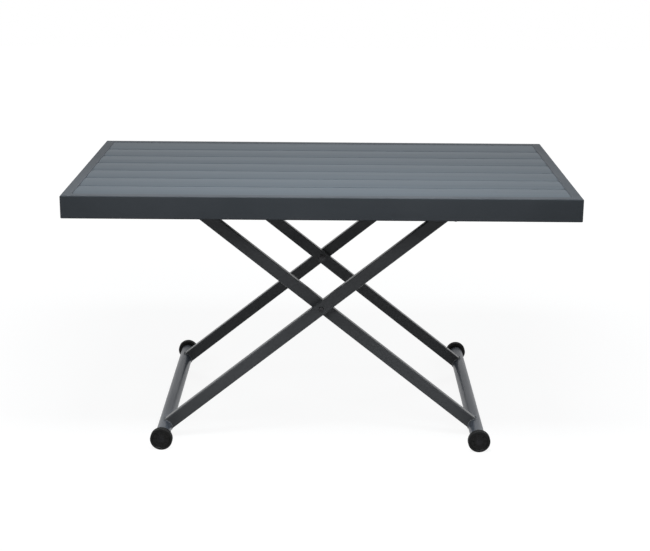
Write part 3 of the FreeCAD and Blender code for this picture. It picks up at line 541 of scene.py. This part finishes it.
rollerShape = {"radius": 0.027, "width": 0.017, "edge": 0.0022, "edgeSteps": 6, "treadDepth": 0.0035,
               "treadInset": 0.0006, "groove": 0.0004, "grooveAt": (0.36, 0.50, 0.64), "rim": 0.0215,
               "dish": 0.0030, "hub": 0.0110, "hubDepth": 0.0015, "bore": 0.0056, "soft": 0.0007,
               "slope": 0.0006, "ribs": 8, "ribWide": 0.0018, "ribTop": 0.0014, "ribBite": 0.0004,
               "steps": 96}


def makeTread(node, place):
    shape = rollerShape
    outer, edge, groove = shape["radius"], shape["edge"], shape["groove"]
    inner, near, far = outer - shape["treadDepth"], shape["treadInset"], shape["width"] - shape["treadInset"]
    tread = [(inner, near)] + arcPoints((outer - edge, near + edge), edge, -90, 0, shape["edgeSteps"])
    for share in shape["grooveAt"]:
        middle = shape["width"] * share
        tread += [(outer, middle - 2 * groove), (outer - groove, middle - groove),
                  (outer - groove, middle + groove), (outer, middle + 2 * groove)]
    tread += arcPoints((outer - edge, far - edge), edge, 0, 90, shape["edgeSteps"]) + [(inner, far)]
    bm = bmesh.new()
    addTurned(bm, tread, shape["steps"], closed=True)
    moveAll(bm, place)
    finishPiece(f"{node}_tread", bm, treadRubber, node)


def makeWheel(node, place):
    shape = rollerShape
    inner, width, bore = shape["radius"] - shape["treadDepth"], shape["width"], shape["bore"]
    rim, hub, dish, hubDepth = shape["rim"], shape["hub"], shape["dish"], shape["hubDepth"]
    soft, slope, bite = shape["soft"], shape["slope"], shape["ribBite"]
    # the outer face from the rim in to the bore, then the inner face back out
    wheel = [(inner, 0), (rim + soft, 0), (rim, soft), (rim - slope, dish - soft), (rim - slope - soft, dish),
             (hub + slope + soft, dish), (hub + slope, dish - soft), (hub, hubDepth + soft),
             (hub - soft, hubDepth), (bore, hubDepth), (bore, width), (hub, width),
             (hub + slope, width - dish), (rim - slope, width - dish), (rim, width), (inner, width)]
    bm = bmesh.new()
    addTurned(bm, wheel, shape["steps"], closed=True)
    half = shape["ribWide"] / 2
    for index in range(shape["ribs"]):
        rib = bmesh.new()
        addBar(rib, (hub - bite, -half, shape["ribTop"]), (rim + bite, half, dish + bite))
        joinInto(bm, rib, Matrix.Rotation(math.tau * index / shape["ribs"], 4, "Z"))
    moveAll(bm, place)
    finishPiece(f"{node}_wheel", bm, rollerBlack, node, [node])


for end in feet:
    for side in sides:
        node = f"roller_{side}_{end}"
        low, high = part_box(node)
        at = middleOf(node)
        place = laid(inward[side], (at.x, low.y if side == "front" else high.y, at.z))
        makeTread(node, place)
        makeWheel(node, place)
print("feet made")

# profiles and parts that the mechanism under the top shares

rodChamfer = 0.0006
headShape = {"domeSteps": 6, "socketDomeSteps": 8, "socketRim": 0.0002, "nutEdge": 0.035}  # nutEdge by flats
tailSteps = 8


def rodProfile(radius, length, chamfer=rodChamfer):
    return [(0, 0), (radius - chamfer, 0), (radius, chamfer), (radius, length - chamfer),
            (radius - chamfer, length), (0, length)]


def domeProfile(radius, height, steps=headShape["domeSteps"]):
    # a low domed head, its crown at height 0 and its rim at the given height
    dome = []
    for step in range(steps + 1):
        angle = math.pi / 2 * step / steps
        dome.append((radius * math.sin(angle), height * (1 - math.cos(angle))))
    return dome


def socketProfile(radius, height, socket, depth):
    # a domed head with a driver socket sunk in its crown
    dome = domeProfile(radius, height, headShape["socketDomeSteps"])
    dome = [point for point in dome if point[0] > socket + headShape["socketRim"]]
    return [(0, depth), (socket, depth), (socket, dome[0][1])] + dome


def addHexNut(bm, flats, height, axis, at):
    part = bmesh.new()
    corner = flats / math.sqrt(3)
    bmesh.ops.create_cone(part, cap_ends=True, segments=6, radius1=corner, radius2=corner, depth=height)
    bmesh.ops.translate(part, vec=(0, 0, height / 2), verts=part.verts)
    bevelEdges(part, part.edges[:], flats * headShape["nutEdge"], softSteps)
    joinInto(bm, part, laid(axis, at))


def addProfileBar(bm, outline, fromX, toX):
    # outline holds (y, z) pairs, drawn along X
    face = bm.faces.new([bm.verts.new((fromX, y, z)) for y, z in outline])
    pulled = bmesh.ops.extrude_face_region(bm, geom=[face])["geom"]
    pulledVerts = [item for item in pulled if isinstance(item, bmesh.types.BMVert)]
    bmesh.ops.translate(bm, vec=(toX - fromX, 0, 0), verts=pulledVerts)


def roundTail(bm, axis, bottom, radius):
    # rounds the lower corners of a plate whose thickness runs along the axis
    tails = [edge for edge in edgesAlong(bm, axis) if edge.verts[0].co.z < bottom + nearEnough]
    bevelEdges(bm, tails, radius, tailSteps)


# axles with riveted heads
axleShape = {"radius": 0.005, "head": 0.008, "headHeight": 0.0012, "dimple": 0.0018, "dimpleDeep": 0.0004,
             "dimpleRim": 0.0003}

headHeight = axleShape["headHeight"]
dome = domeProfile(axleShape["head"], headHeight)
head = [(0, axleShape["dimpleDeep"]), (axleShape["dimple"], axleShape["dimpleRim"])]
head += [point for point in dome if point[0] > axleShape["dimple"]]
for end, foot in feet.items():
    low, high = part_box(f"{end}_axle")
    length = high.y - low.y
    shaft = [(axleShape["radius"], headHeight), (axleShape["radius"], length - headHeight)]
    farHead = [(radius, length - height) for radius, height in reversed(head)]
    turnedPiece(f"{end}_axle_rivet", head + shaft + farHead, "+Y", (foot["at"].x, low.y, foot["at"].z),
                blackSteel, foot["axleBody"], [f"{end}_axle"])

# bolts, washers and nuts where the legs cross
pivotShape = {"head": 0.0065, "headHeight": 0.0045, "socket": 0.0028, "socketDepth": 0.0026, "shank": 0.004,
              "chamfer": 0.0006, "threadProud": 0.0015, "nutFlats": 0.013, "nutHeight": 0.0065,
              "washer": 0.010, "washerThick": 0.0022, "washerBore": 0.0045, "washerEdge": 0.0004}

bolts, washers, nuts = bmesh.new(), bmesh.new(), bmesh.new()
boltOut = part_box("pivot_bolts")[1].y
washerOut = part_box("pivot_washers")[1].y
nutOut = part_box("pivot_nuts")[1].y
nutIn = nutOut - pivotShape["nutHeight"]
boltLength = boltOut - nutIn + pivotShape["threadProud"]
shank, chamfer, headHeight = pivotShape["shank"], pivotShape["chamfer"], pivotShape["headHeight"]
bolt = socketProfile(pivotShape["head"], headHeight, pivotShape["socket"], pivotShape["socketDepth"])
bolt += [(shank, headHeight), (shank, boltLength - chamfer), (shank - chamfer, boltLength), (0, boltLength)]
washer = ringProfile(pivotShape["washerBore"], pivotShape["washer"], 0, pivotShape["washerThick"],
                     pivotShape["washerEdge"])
for side, sign in sides.items():
    addTurnedAt(bolts, bolt, inward[side], (0, sign * boltOut, crossing.z))
    for face in (washerOut, nutOut + pivotShape["washerThick"]):
        addTurnedAt(washers, washer, inward[side], (0, sign * face, crossing.z), closed=True)
    addHexNut(nuts, pivotShape["nutFlats"], pivotShape["nutHeight"], outward[side],
              (0, sign * nutIn, crossing.z))
finishPiece("pivot_bolt_pair", bolts, pivotSteel, "outer_legs", ["pivot_bolts"])
finishPiece("pivot_washer_set", washers, pivotSteel, "outer_legs", ["pivot_washers"])
finishPiece("pivot_nut_pair", nuts, pivotSteel, "outer_legs", ["pivot_nuts"])

# moulded eyes in the upper ends of the legs
eyeShape = {"radius": 0.014, "bore": 0.0071, "lip": 0.0012, "neckHigh": 0.0265, "neckThick": 0.0168,
            "neckReach": 0.045, "neckGap": 0.001, "neckEdge": 0.0015}

half = legShape["thick"] / 2
neckHalfHigh, neckHalfThick = eyeShape["neckHigh"] / 2, eyeShape["neckThick"] / 2
neckStart, neckEnd = legReach - eyeShape["neckReach"], legReach - eyeShape["bore"] - eyeShape["neckGap"]
eye = ringProfile(eyeShape["bore"], eyeShape["radius"], -half, half, eyeShape["lip"])
for kind in ("outer", "inner"):
    node = f"{kind}_leg_eyes"
    bm = bmesh.new()
    for side in sides:
        part = bmesh.new()
        addTurnedAt(part, eye, "+Y", (legReach, 0, 0), closed=True)
        addSoftBar(part, (neckStart, -neckHalfThick, -neckHalfHigh), (neckEnd, neckHalfThick, neckHalfHigh),
                   eyeShape["neckEdge"])
        joinInto(bm, part, legFrame(kind, middleOf(f"{kind}_leg_{side}").y))
    finishPiece(f"{node}_moulding", bm, nylonBlack, f"{kind}_legs", [node])
print("axles, bolts and eyes made")

# flat bars under the slats, and the screws up through them
crossbarShape = {"edge": 0.0008, "screwHead": 0.0045, "screwProud": 0.0007, "screwDeep": 0.0012,
                 "socket": 0.0017, "socketDepth": 0.0006, "screwSteps": 24}

screws = bmesh.new()
screw = socketProfile(crossbarShape["screwHead"], crossbarShape["screwProud"], crossbarShape["socket"],
                      crossbarShape["socketDepth"])
screw += [(crossbarShape["screwHead"], crossbarShape["screwDeep"]), (0, crossbarShape["screwDeep"])]
for node in ("crossbar_slide", "crossbar_middle", "crossbar_hinge", "crossbar_lever"):
    low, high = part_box(node)
    bm = bmesh.new()
    addSoftBar(bm, low, high, crossbarShape["edge"])
    finishPiece(f"{node}_flat", bm, barAluminium, "tabletop", [node])
    for number in range(1, slatShape["count"] + 1):
        spot = (middleOf(node).x, middleOf(f"slat_{number}").y, low.z - crossbarShape["screwProud"])
        addTurnedAt(screws, screw, "+Z", spot, crossbarShape["screwSteps"])
finishPiece("slat_screw_heads", screws, zincPlate, "tabletop", ["slat_screws"])

# slide rails, their stops and the blocks that run in them
railShape = {"wall": 0.002, "edge": 0.0005, "blockEdge": 0.0012, "stopEdge": 0.0010, "stopWide": 0.0203,
             "shaftChamfer": 0.001}

stops = bmesh.new()
stopLow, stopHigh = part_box("slide_stops")
wall, stopWide = railShape["wall"], railShape["stopWide"]
for side, sign in sides.items():
    low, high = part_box(f"slide_rail_{side}")
    inner, outer = (high.y, low.y) if side == "front" else (low.y, high.y)
    web = outer - sign * wall
    channel = [(inner, low.z), (outer, low.z), (outer, high.z), (inner, high.z), (inner, high.z - wall),
               (web, high.z - wall), (web, low.z + wall), (inner, low.z + wall)]
    bm = bmesh.new()
    addProfileBar(bm, channel, low.x, high.x)
    bevelEdges(bm, bm.edges[:], railShape["edge"], softSteps)
    finishPiece(f"slide_rail_{side}_channel", bm, millAluminium, "tabletop",
                [f"slide_rail_{side}"])
    low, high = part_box(f"slide_block_{side}")
    bm = bmesh.new()
    addSoftBar(bm, low, high, railShape["blockEdge"])
    finishPiece(f"slide_block_{side}_shoe", bm, nylonBlack, "carriage",
                [f"slide_block_{side}"])
    stopStart = stopLow.y if side == "front" else stopHigh.y - stopWide
    addSoftBar(stops, (stopLow.x, stopStart, stopLow.z), (stopHigh.x, stopStart + stopWide, stopHigh.z),
               railShape["stopEdge"])
finishPiece("slide_stop_pair", stops, nylonBlack, "tabletop", ["slide_stops"])

low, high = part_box("slide_shaft")
middle = middleOf("slide_shaft")
shaft = rodProfile((high.x - low.x) / 2, high.y - low.y, railShape["shaftChamfer"])
turnedPiece("slide_shaft_bar", shaft, "+Y", (middle.x, low.y, middle.z), zincPlate, "carriage",
            ["slide_shaft"])

# hinge plates: bent plates with rounded tails, riveted to the bar, and their pins
plateShape = {"thick": 0.004, "flange": 0.018, "sideGap": 0.0003, "tailRadius": 0.010, "rivet": 0.0045,
              "rivetHeight": 0.002, "rivetReach": 0.010, "rivetSteps": 24, "pin": 0.007, "pinHead": 0.010,
              "pinHeadHeight": 0.003, "pinChamfer": 0.001}

plates, pins = bmesh.new(), bmesh.new()
plateLow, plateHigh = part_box("hinge_plates")
plateMiddle = middleOf("hinge_plates")
legMiddle = middleOf("outer_leg_back").y
nearGap = legShape["thick"] / 2 + plateShape["sideGap"]
shelf = plateHigh.z - plateShape["thick"]
rivet = domeProfile(plateShape["rivet"], plateShape["rivetHeight"]) + [(0, plateShape["rivetHeight"])]
headHeight, radius, chamfer = plateShape["pinHeadHeight"], plateShape["pin"], plateShape["pinChamfer"]
pinHalf = nearGap + plateShape["thick"] + headHeight
pin = domeProfile(plateShape["pinHead"], headHeight)
pin += [(radius, headHeight), (radius, 2 * pinHalf - chamfer), (radius - chamfer, 2 * pinHalf),
        (0, 2 * pinHalf)]
for side, sign in sides.items():
    for cheek in (1, -1):
        near = sign * (legMiddle + cheek * nearGap)
        far = near + sign * cheek * plateShape["thick"]
        rim = near + sign * cheek * plateShape["flange"]
        outline = [(near, plateHigh.z), (near, plateLow.z), (far, plateLow.z), (far, shelf), (rim, shelf),
                   (rim, plateHigh.z)]
        part = bmesh.new()
        addProfileBar(part, outline, plateLow.x, plateHigh.x)
        roundTail(part, axisY, plateLow.z, plateShape["tailRadius"])
        joinInto(plates, part)
        for reach in (-plateShape["rivetReach"], plateShape["rivetReach"]):
            spot = (plateMiddle.x + reach, (far + rim) / 2, shelf - plateShape["rivetHeight"])
            addTurnedAt(plates, rivet, "+Z", spot, plateShape["rivetSteps"])
    addTurnedAt(pins, pin, inward[side], (topHinge.x, sign * (legMiddle + pinHalf), topHinge.z))
finishPiece("hinge_plate_set", plates, blackPaint, "tabletop", ["hinge_plates"])
finishPiece("hinge_pin_pair", pins, zincPlate, "tabletop", ["hinge_pins"])
print("bars, rails and hinges made")

# gas spring: cylinder and rod
springShape = {"wall": 0.0015, "endWall": 0.003, "lip": 0.0008, "crimpAt": 0.012, "crimpDepth": 0.0008,
               "crimpWide": 0.0022, "steps": 64, "rod": 0.005, "tailRadius": 0.009, "clampWide": 0.016}

springZ = topHinge.z
low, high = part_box("spring_cylinder")
cylinderEnd = high.x
radius, length = (high.y - low.y) / 2, high.x - low.x
lip, crimpAt = springShape["lip"], springShape["crimpAt"]
dip, half = springShape["crimpDepth"], springShape["crimpWide"] / 2
bore, floorAt = radius - springShape["wall"], length - springShape["endWall"]
# from the floor of the bore out to the rolled lip, then back along the outside
cylinder = [(0, floorAt), (bore, floorAt), (bore, 2 * lip), (radius - 3 * lip, 2 * lip),
            (radius - 3 * lip, lip), (radius - 2 * lip, 0), (radius - lip, 0), (radius, lip),
            (radius, crimpAt - half),
            (radius - dip, crimpAt - half / 2), (radius - dip, crimpAt + half / 2), (radius, crimpAt + half),
            (radius, length - 4 * lip), (radius - lip, length - lip), (radius - 3 * lip, length), (0, length)]
turnedPiece("spring_cylinder_tube", cylinder, "+X", (low.x, 0, springZ), blackPaint, "tabletop",
            ["spring_cylinder"], springShape["steps"])
low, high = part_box("spring_rod")
turnedPiece("spring_rod_bar", rodProfile(springShape["rod"], high.x - low.x), "+X", (low.x, 0, springZ),
            chromeRod, "carriage", ["spring_rod"])

# the eye on the rod, with its stepped neck
rodEyeShape = {"radius": 0.012, "wide": 0.016, "bore": 0.0071, "lip": 0.001, "neck": 0.0072, "neckAt": 0.0105,
               "neckLong": 0.010, "neckStep": 0.0008, "neckEnd": 0.0155, "neckSteps": 36}

half, neck = rodEyeShape["wide"] / 2, rodEyeShape["neck"]
neckLong, neckStep, neckEnd = rodEyeShape["neckLong"], rodEyeShape["neckStep"], rodEyeShape["neckEnd"]
eye = ringProfile(rodEyeShape["bore"], rodEyeShape["radius"], -half, half, rodEyeShape["lip"])
stem = [(0, 0), (neck, 0), (neck, neckLong), (neck - neckStep, neckLong + neckStep),
        (neck - neckStep, neckEnd), (0, neckEnd)]
bm = bmesh.new()
addTurnedAt(bm, eye, "+Y", (-topHinge.x, 0, springZ), closed=True)
addTurnedAt(bm, stem, "+X", (rodEyeShape["neckAt"] - topHinge.x, 0, springZ), rodEyeShape["neckSteps"])
finishPiece("spring_rod_eye_end", bm, millAluminium, "carriage", ["spring_rod_eye"])

# the threaded stud at the other end, bored for the valve pin, and its nuts
studShape = {"radius": 0.006, "pitch": 0.0015, "threadDepth": 0.0005, "threadStop": 0.002, "tip": 0.001,
             "chamfer": 0.0004, "pinHole": 0.0022, "pinHoleDeep": 0.004, "nutFlats": 0.019,
             "nutHeight": 0.008}

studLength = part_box("spring_end_plug")[1].x - cylinderEnd
crest, root = studShape["radius"], studShape["radius"] - studShape["threadDepth"]
tip, holeFloor = crest - studShape["tip"], studLength - studShape["pinHoleDeep"]
thread = [(0, 0)]
turnAt = 0
while turnAt < studLength - studShape["threadStop"]:
    thread += [(root, turnAt), (crest, turnAt + studShape["pitch"] / 2)]
    turnAt += studShape["pitch"]
thread += [(tip, studLength - studShape["chamfer"]), (tip - studShape["chamfer"], studLength),
           (studShape["pinHole"], studLength), (studShape["pinHole"], holeFloor), (0, holeFloor)]
turnedPiece("spring_stud", thread, "+X", (cylinderEnd, 0, springZ), millAluminium, "tabletop",
            ["spring_end_plug"])

bm = bmesh.new()
low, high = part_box("spring_nuts")
for axis, x in (("-X", low.x + studShape["nutHeight"]), ("+X", high.x - studShape["nutHeight"])):
    addHexNut(bm, studShape["nutFlats"], studShape["nutHeight"], axis, (x, 0, springZ))
finishPiece("spring_nut_pair", bm, zincPlate, "tabletop", ["spring_nuts"])

low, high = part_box("spring_anchor")
bm = bmesh.new()
addBar(bm, low, high)
roundTail(bm, axisX, low.z, springShape["tailRadius"])
finishPiece("spring_anchor_plate", bm, blackPaint, "tabletop", ["spring_anchor"])

clamps = bmesh.new()
low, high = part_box("spring_clamps")
half = springShape["clampWide"] / 2
for x in (middleOf("crossbar_middle").x, topHinge.x):
    part = bmesh.new()
    addBar(part, (x - half, low.y, low.z), (x + half, high.y, high.z))
    roundTail(part, axisX, low.z, springShape["tailRadius"])
    joinInto(clamps, part)
finishPiece("spring_clamp_pair", clamps, millAluminium, "tabletop", ["spring_clamps"])
print("gas spring made")

# release lever: shaft, ribbed grip, arm, the finger that presses the valve pin, and brackets
leverShape = {"hub": 0.007, "armWide": 0.010, "armThick": 0.005, "armInset": 0.0003, "edge": 0.0007,
              "finger": 0.004, "fingerInset": 0.0004, "fingerEdge": 0.0003, "fingerEdgeSteps": 1,
              "bracket": 0.004, "bracketInset": 0.0002, "strapDeep": 0.010}
gripShape = {"radius": 0.007, "edge": 0.0008, "ribFirst": 0.004, "ribStop": 0.008, "ribPitch": 0.0042,
             "ribSlope": 0.0008, "ribDepth": 0.0006, "round": 0.003, "roundSteps": 5}

low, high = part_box("release_shaft")
turnedPiece("release_shaft_bar", rodProfile((high.x - low.x) / 2, high.y - low.y), "+Y",
            (leverAt.x, low.y, leverAt.z), zincPlate, "release_lever", ["release_shaft"])

low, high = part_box("release_grip")
gripAt = middleOf("release_grip")
gripLength, gripRadius = high.y - low.y, gripShape["radius"]
valley, slope, roundEnd = gripRadius - gripShape["ribDepth"], gripShape["ribSlope"], gripShape["round"]
ribs = [(0, 0), (gripRadius - gripShape["edge"], 0), (gripRadius, gripShape["edge"])]
ribAt = gripShape["ribFirst"]
while ribAt < gripLength - gripShape["ribStop"]:
    ribs += [(gripRadius, ribAt), (valley, ribAt + slope), (valley, ribAt + 2 * slope),
             (gripRadius, ribAt + 3 * slope)]
    ribAt += gripShape["ribPitch"]
ribs += arcPoints((gripRadius - roundEnd, gripLength - roundEnd), roundEnd, 0, 90, gripShape["roundSteps"])
ribs.append((0, gripLength))
turnedPiece("release_grip_moulding", ribs, "+Y", (gripAt.x, low.y, gripAt.z), gripPlastic, "release_lever",
            ["release_grip"])

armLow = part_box("release_arm")[0].y
armThick, armHalfWide = leverShape["armThick"], leverShape["armWide"] / 2
armHalfThick = armThick / 2 - leverShape["armInset"]
armLine = Vector((gripAt.x - leverAt.x, 0, gripAt.z - leverAt.z))
armTurn = Matrix.Rotation(math.atan2(armLine.z, armLine.x), 4, Vector((0, -1, 0)))
bm = bmesh.new()
addSoftBar(bm, (0, -armHalfThick, -armHalfWide), (armLine.length, armHalfThick, armHalfWide),
           leverShape["edge"])
moveAll(bm, Matrix.Translation((leverAt.x, armLow + armThick / 2, leverAt.z)) @ armTurn)
for spot, radius in ((leverAt, leverShape["hub"]), (gripAt, gripRadius)):
    addTurnedAt(bm, rodProfile(radius, armThick), "+Y", (spot.x, armLow, spot.z))
finishPiece("release_arm_bar", bm, blackPaint, "release_lever", ["release_arm"])

low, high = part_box("release_finger")
finger, inset = leverShape["finger"], leverShape["fingerInset"]
bm = bmesh.new()
for z, radius in ((leverAt.z, leverShape["hub"]), (springZ, finger)):
    addTurnedAt(bm, rodProfile(radius, high.y - low.y), "+Y", (leverAt.x, low.y, z))
addSoftBar(bm, (leverAt.x - finger, low.y + inset, springZ), (leverAt.x + finger, high.y - inset, leverAt.z),
           leverShape["fingerEdge"], leverShape["fingerEdgeSteps"])
finishPiece("release_finger_cam", bm, blackPaint, "release_lever", ["release_finger"])

low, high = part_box("lever_brackets")
thick, inset = leverShape["bracket"], leverShape["bracketInset"]
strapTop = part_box("crossbar_lever")[0].z
bm = bmesh.new()
for y in (low.y, high.y - thick):
    addSoftBar(bm, (low.x, y + inset, strapTop - leverShape["strapDeep"]),
               (leverAt.x, y + thick - inset, strapTop), leverShape["edge"])
    addTurnedAt(bm, rodProfile(leverShape["hub"], thick), "+Y", (leverAt.x, y, leverAt.z))
finishPiece("lever_bracket_pair", bm, blackPaint, "tabletop", ["lever_brackets"])
print("release lever made")

# nodes that are hidden inside other pieces keep their own shape
keptFinish = {"corner_keys": nylonBlack, "spring_gland": millAluminium, "valve_pin": zincPlate,
              "spring_piston": nylonBlack, "pivot_bushes": nylonBlack}

for node, mat in keptFinish.items():
    nodes[node].material_slots[0].material = mat
print("kept nodes finished:", len(keptFinish))

# floor, light and camera

# glow and glowReach set a painted brightening of the floor from its middle outwards
stageLook = {"floorSize": 16.0, "floorGrey": 0.32, "shadeGrey": 0.16, "glow": (0.90, 1.0),
             "glowReach": (1.0, 3.0), "worldLight": 0.11, "coolTint": (0.93, 0.97, 1.0)}


def largerOf(nodeTree, first, second):
    larger = nodeTree.nodes.new("ShaderNodeMath")
    larger.operation = "MAXIMUM"
    nodeTree.links.new(first, larger.inputs[0])
    nodeTree.links.new(second, larger.inputs[1])
    return larger.outputs["Value"]


def seenRay(nodeTree):
    # 1 for what the camera sees, also in gloss and through glass
    rays = nodeTree.nodes.new("ShaderNodeLightPath")
    either = largerOf(nodeTree, rays.outputs["Is Camera Ray"], rays.outputs["Is Glossy Ray"])
    return largerOf(nodeTree, either, rays.outputs["Is Transmission Ray"])


def mixShaders(nodeTree, share, first, second):
    mix = nodeTree.nodes.new("ShaderNodeMixShader")
    nodeTree.links.new(share, mix.inputs["Fac"])
    nodeTree.links.new(first.outputs[0], mix.inputs[1])
    nodeTree.links.new(second.outputs[0], mix.inputs[2])
    return mix


def greyDiffuse(nodeTree, grey):
    diffuse = nodeTree.nodes.new("ShaderNodeBsdfDiffuse")
    diffuse.inputs["Color"].default_value = (grey, grey, grey, 1)
    return diffuse


floorMesh = bpy.data.meshes.new("studio_floor")
bm = bmesh.new()
bmesh.ops.create_grid(bm, x_segments=1, y_segments=1, size=stageLook["floorSize"] / 2)
bm.to_mesh(floorMesh)
bm.free()
floor = bpy.data.objects.new("studio_floor", floorMesh)
scene.collection.objects.link(floor)

floorMat = bpy.data.materials.new("floor_white")
floorMat.use_nodes = True
floorTree = floorMat.node_tree
floorTree.nodes.clear()
floorOut = floorTree.nodes.new("ShaderNodeOutputMaterial")
# the floor's glow rises outwards, painted light that makes up for the lamps falling off, so that it meets the
# backdrop without an edge
floorPlace = floorTree.nodes.new("ShaderNodeTexCoord")
reach = floorTree.nodes.new("ShaderNodeVectorMath")
reach.operation = "LENGTH"
floorTree.links.new(floorPlace.outputs["Object"], reach.inputs[0])
glow = floorTree.nodes.new("ShaderNodeEmission")
paintedFloorLight = addRange(floorTree, reach.outputs["Value"], stageLook["glowReach"], stageLook["glow"])
floorTree.links.new(paintedFloorLight, glow.inputs["Strength"])
seenFloor = floorTree.nodes.new("ShaderNodeAddShader")
floorTree.links.new(glow.outputs[0], seenFloor.inputs[0])
floorTree.links.new(greyDiffuse(floorTree, stageLook["shadeGrey"]).outputs[0], seenFloor.inputs[1])
plainFloor = greyDiffuse(floorTree, stageLook["floorGrey"])
floorMix = mixShaders(floorTree, seenRay(floorTree), plainFloor, seenFloor)
# seen from below, the floor is clear
facing = floorTree.nodes.new("ShaderNodeNewGeometry")
clear = floorTree.nodes.new("ShaderNodeBsdfTransparent")
sideMix = mixShaders(floorTree, facing.outputs["Backfacing"], floorMix, clear)
floorTree.links.new(sideMix.outputs[0], floorOut.inputs["Surface"])
floorMesh.materials.append(floorMat)

world = bpy.data.worlds.new("studio_world")
scene.world = world
world.use_nodes = True
worldTree = world.node_tree
worldTree.nodes.clear()
worldOut = worldTree.nodes.new("ShaderNodeOutputWorld")
ambient = worldTree.nodes.new("ShaderNodeBackground")
ambient.inputs["Color"].default_value = (*stageLook["coolTint"], 1)
ambient.inputs["Strength"].default_value = stageLook["worldLight"]
backdrop = worldTree.nodes.new("ShaderNodeBackground")
backdrop.inputs["Color"].default_value = (1, 1, 1, 1)
backdrop.inputs["Strength"].default_value = 1.0
worldMix = mixShaders(worldTree, seenRay(worldTree), ambient, backdrop)
worldTree.links.new(worldMix.outputs[0], worldOut.inputs["Surface"])

# softboxes: the two main ones also show in the gloss, and those at the sides and the back leave no streak
lampSet = {
    "overhead": {"at": (0.0, -0.60, 1.72), "aim": (0.0, -0.54, 0.0), "size": (1.2, 0.4), "watts": 23,
                 "streak": True},
    "front": {"at": (-0.3, -2.2, 2.3), "aim": (0.0, -0.3, 0.4), "size": (1.4, 0.9), "watts": 11,
              "streak": True},
    "left": {"at": (-2.6, 0.1, 1.5), "aim": (-0.3, 0.0, 0.45), "size": (1.2, 0.9), "watts": 11,
             "streak": False},
    "right": {"at": (2.6, 0.1, 1.5), "aim": (0.3, 0.0, 0.45), "size": (1.2, 0.9), "watts": 11,
              "streak": False},
    "back": {"at": (0.3, 2.4, 2.2), "aim": (0.0, 0.3, 0.4), "size": (1.4, 0.9), "watts": 14,
             "streak": False},
}
for lampName, lamp in lampSet.items():
    light = bpy.data.lights.new(f"{lampName}_softbox", "AREA")
    light.shape = "RECTANGLE"
    light.size, light.size_y = lamp["size"]
    light.energy = lamp["watts"]
    light.color = stageLook["coolTint"]
    holder = bpy.data.objects.new(f"{lampName}_softbox", light)
    holder.visible_glossy = lamp["streak"]
    holder.location = lamp["at"]
    aim = Vector(lamp["aim"]) - Vector(lamp["at"])
    holder.rotation_euler = aim.to_track_quat("-Z", "Y").to_euler()
    scene.collection.objects.link(holder)

cameraSet = {"at": (0.01573, -3.44828, 1.32703), "yaw": 0.0022, "pitch": 0.27732, "roll": -0.0071,
             "lens": 76.834, "sensor": 36.0}
yaw, pitch, roll = cameraSet["yaw"], cameraSet["pitch"], cameraSet["roll"]
level = Vector((-math.sin(yaw), math.cos(yaw), 0))
across = Vector((math.cos(yaw), math.sin(yaw), 0))
upward = math.sin(pitch) * level + Vector((0, 0, math.cos(pitch)))
forward = math.cos(pitch) * level - Vector((0, 0, math.sin(pitch)))
frameRight = math.cos(roll) * across - math.sin(roll) * upward
frameTop = math.sin(roll) * across + math.cos(roll) * upward
turnMatrix = Matrix((frameRight, frameTop, -forward)).transposed()
cameraData = bpy.data.cameras.new("photo_camera")
cameraData.sensor_width = cameraSet["sensor"]
cameraData.lens = cameraSet["lens"]
camera = bpy.data.objects.new("photo_camera", cameraData)
camera.matrix_world = Matrix.Translation(cameraSet["at"]) @ turnMatrix.to_4x4()
scene.collection.objects.link(camera)
scene.camera = camera
scene.view_settings.view_transform = "Standard"
print("stage set")
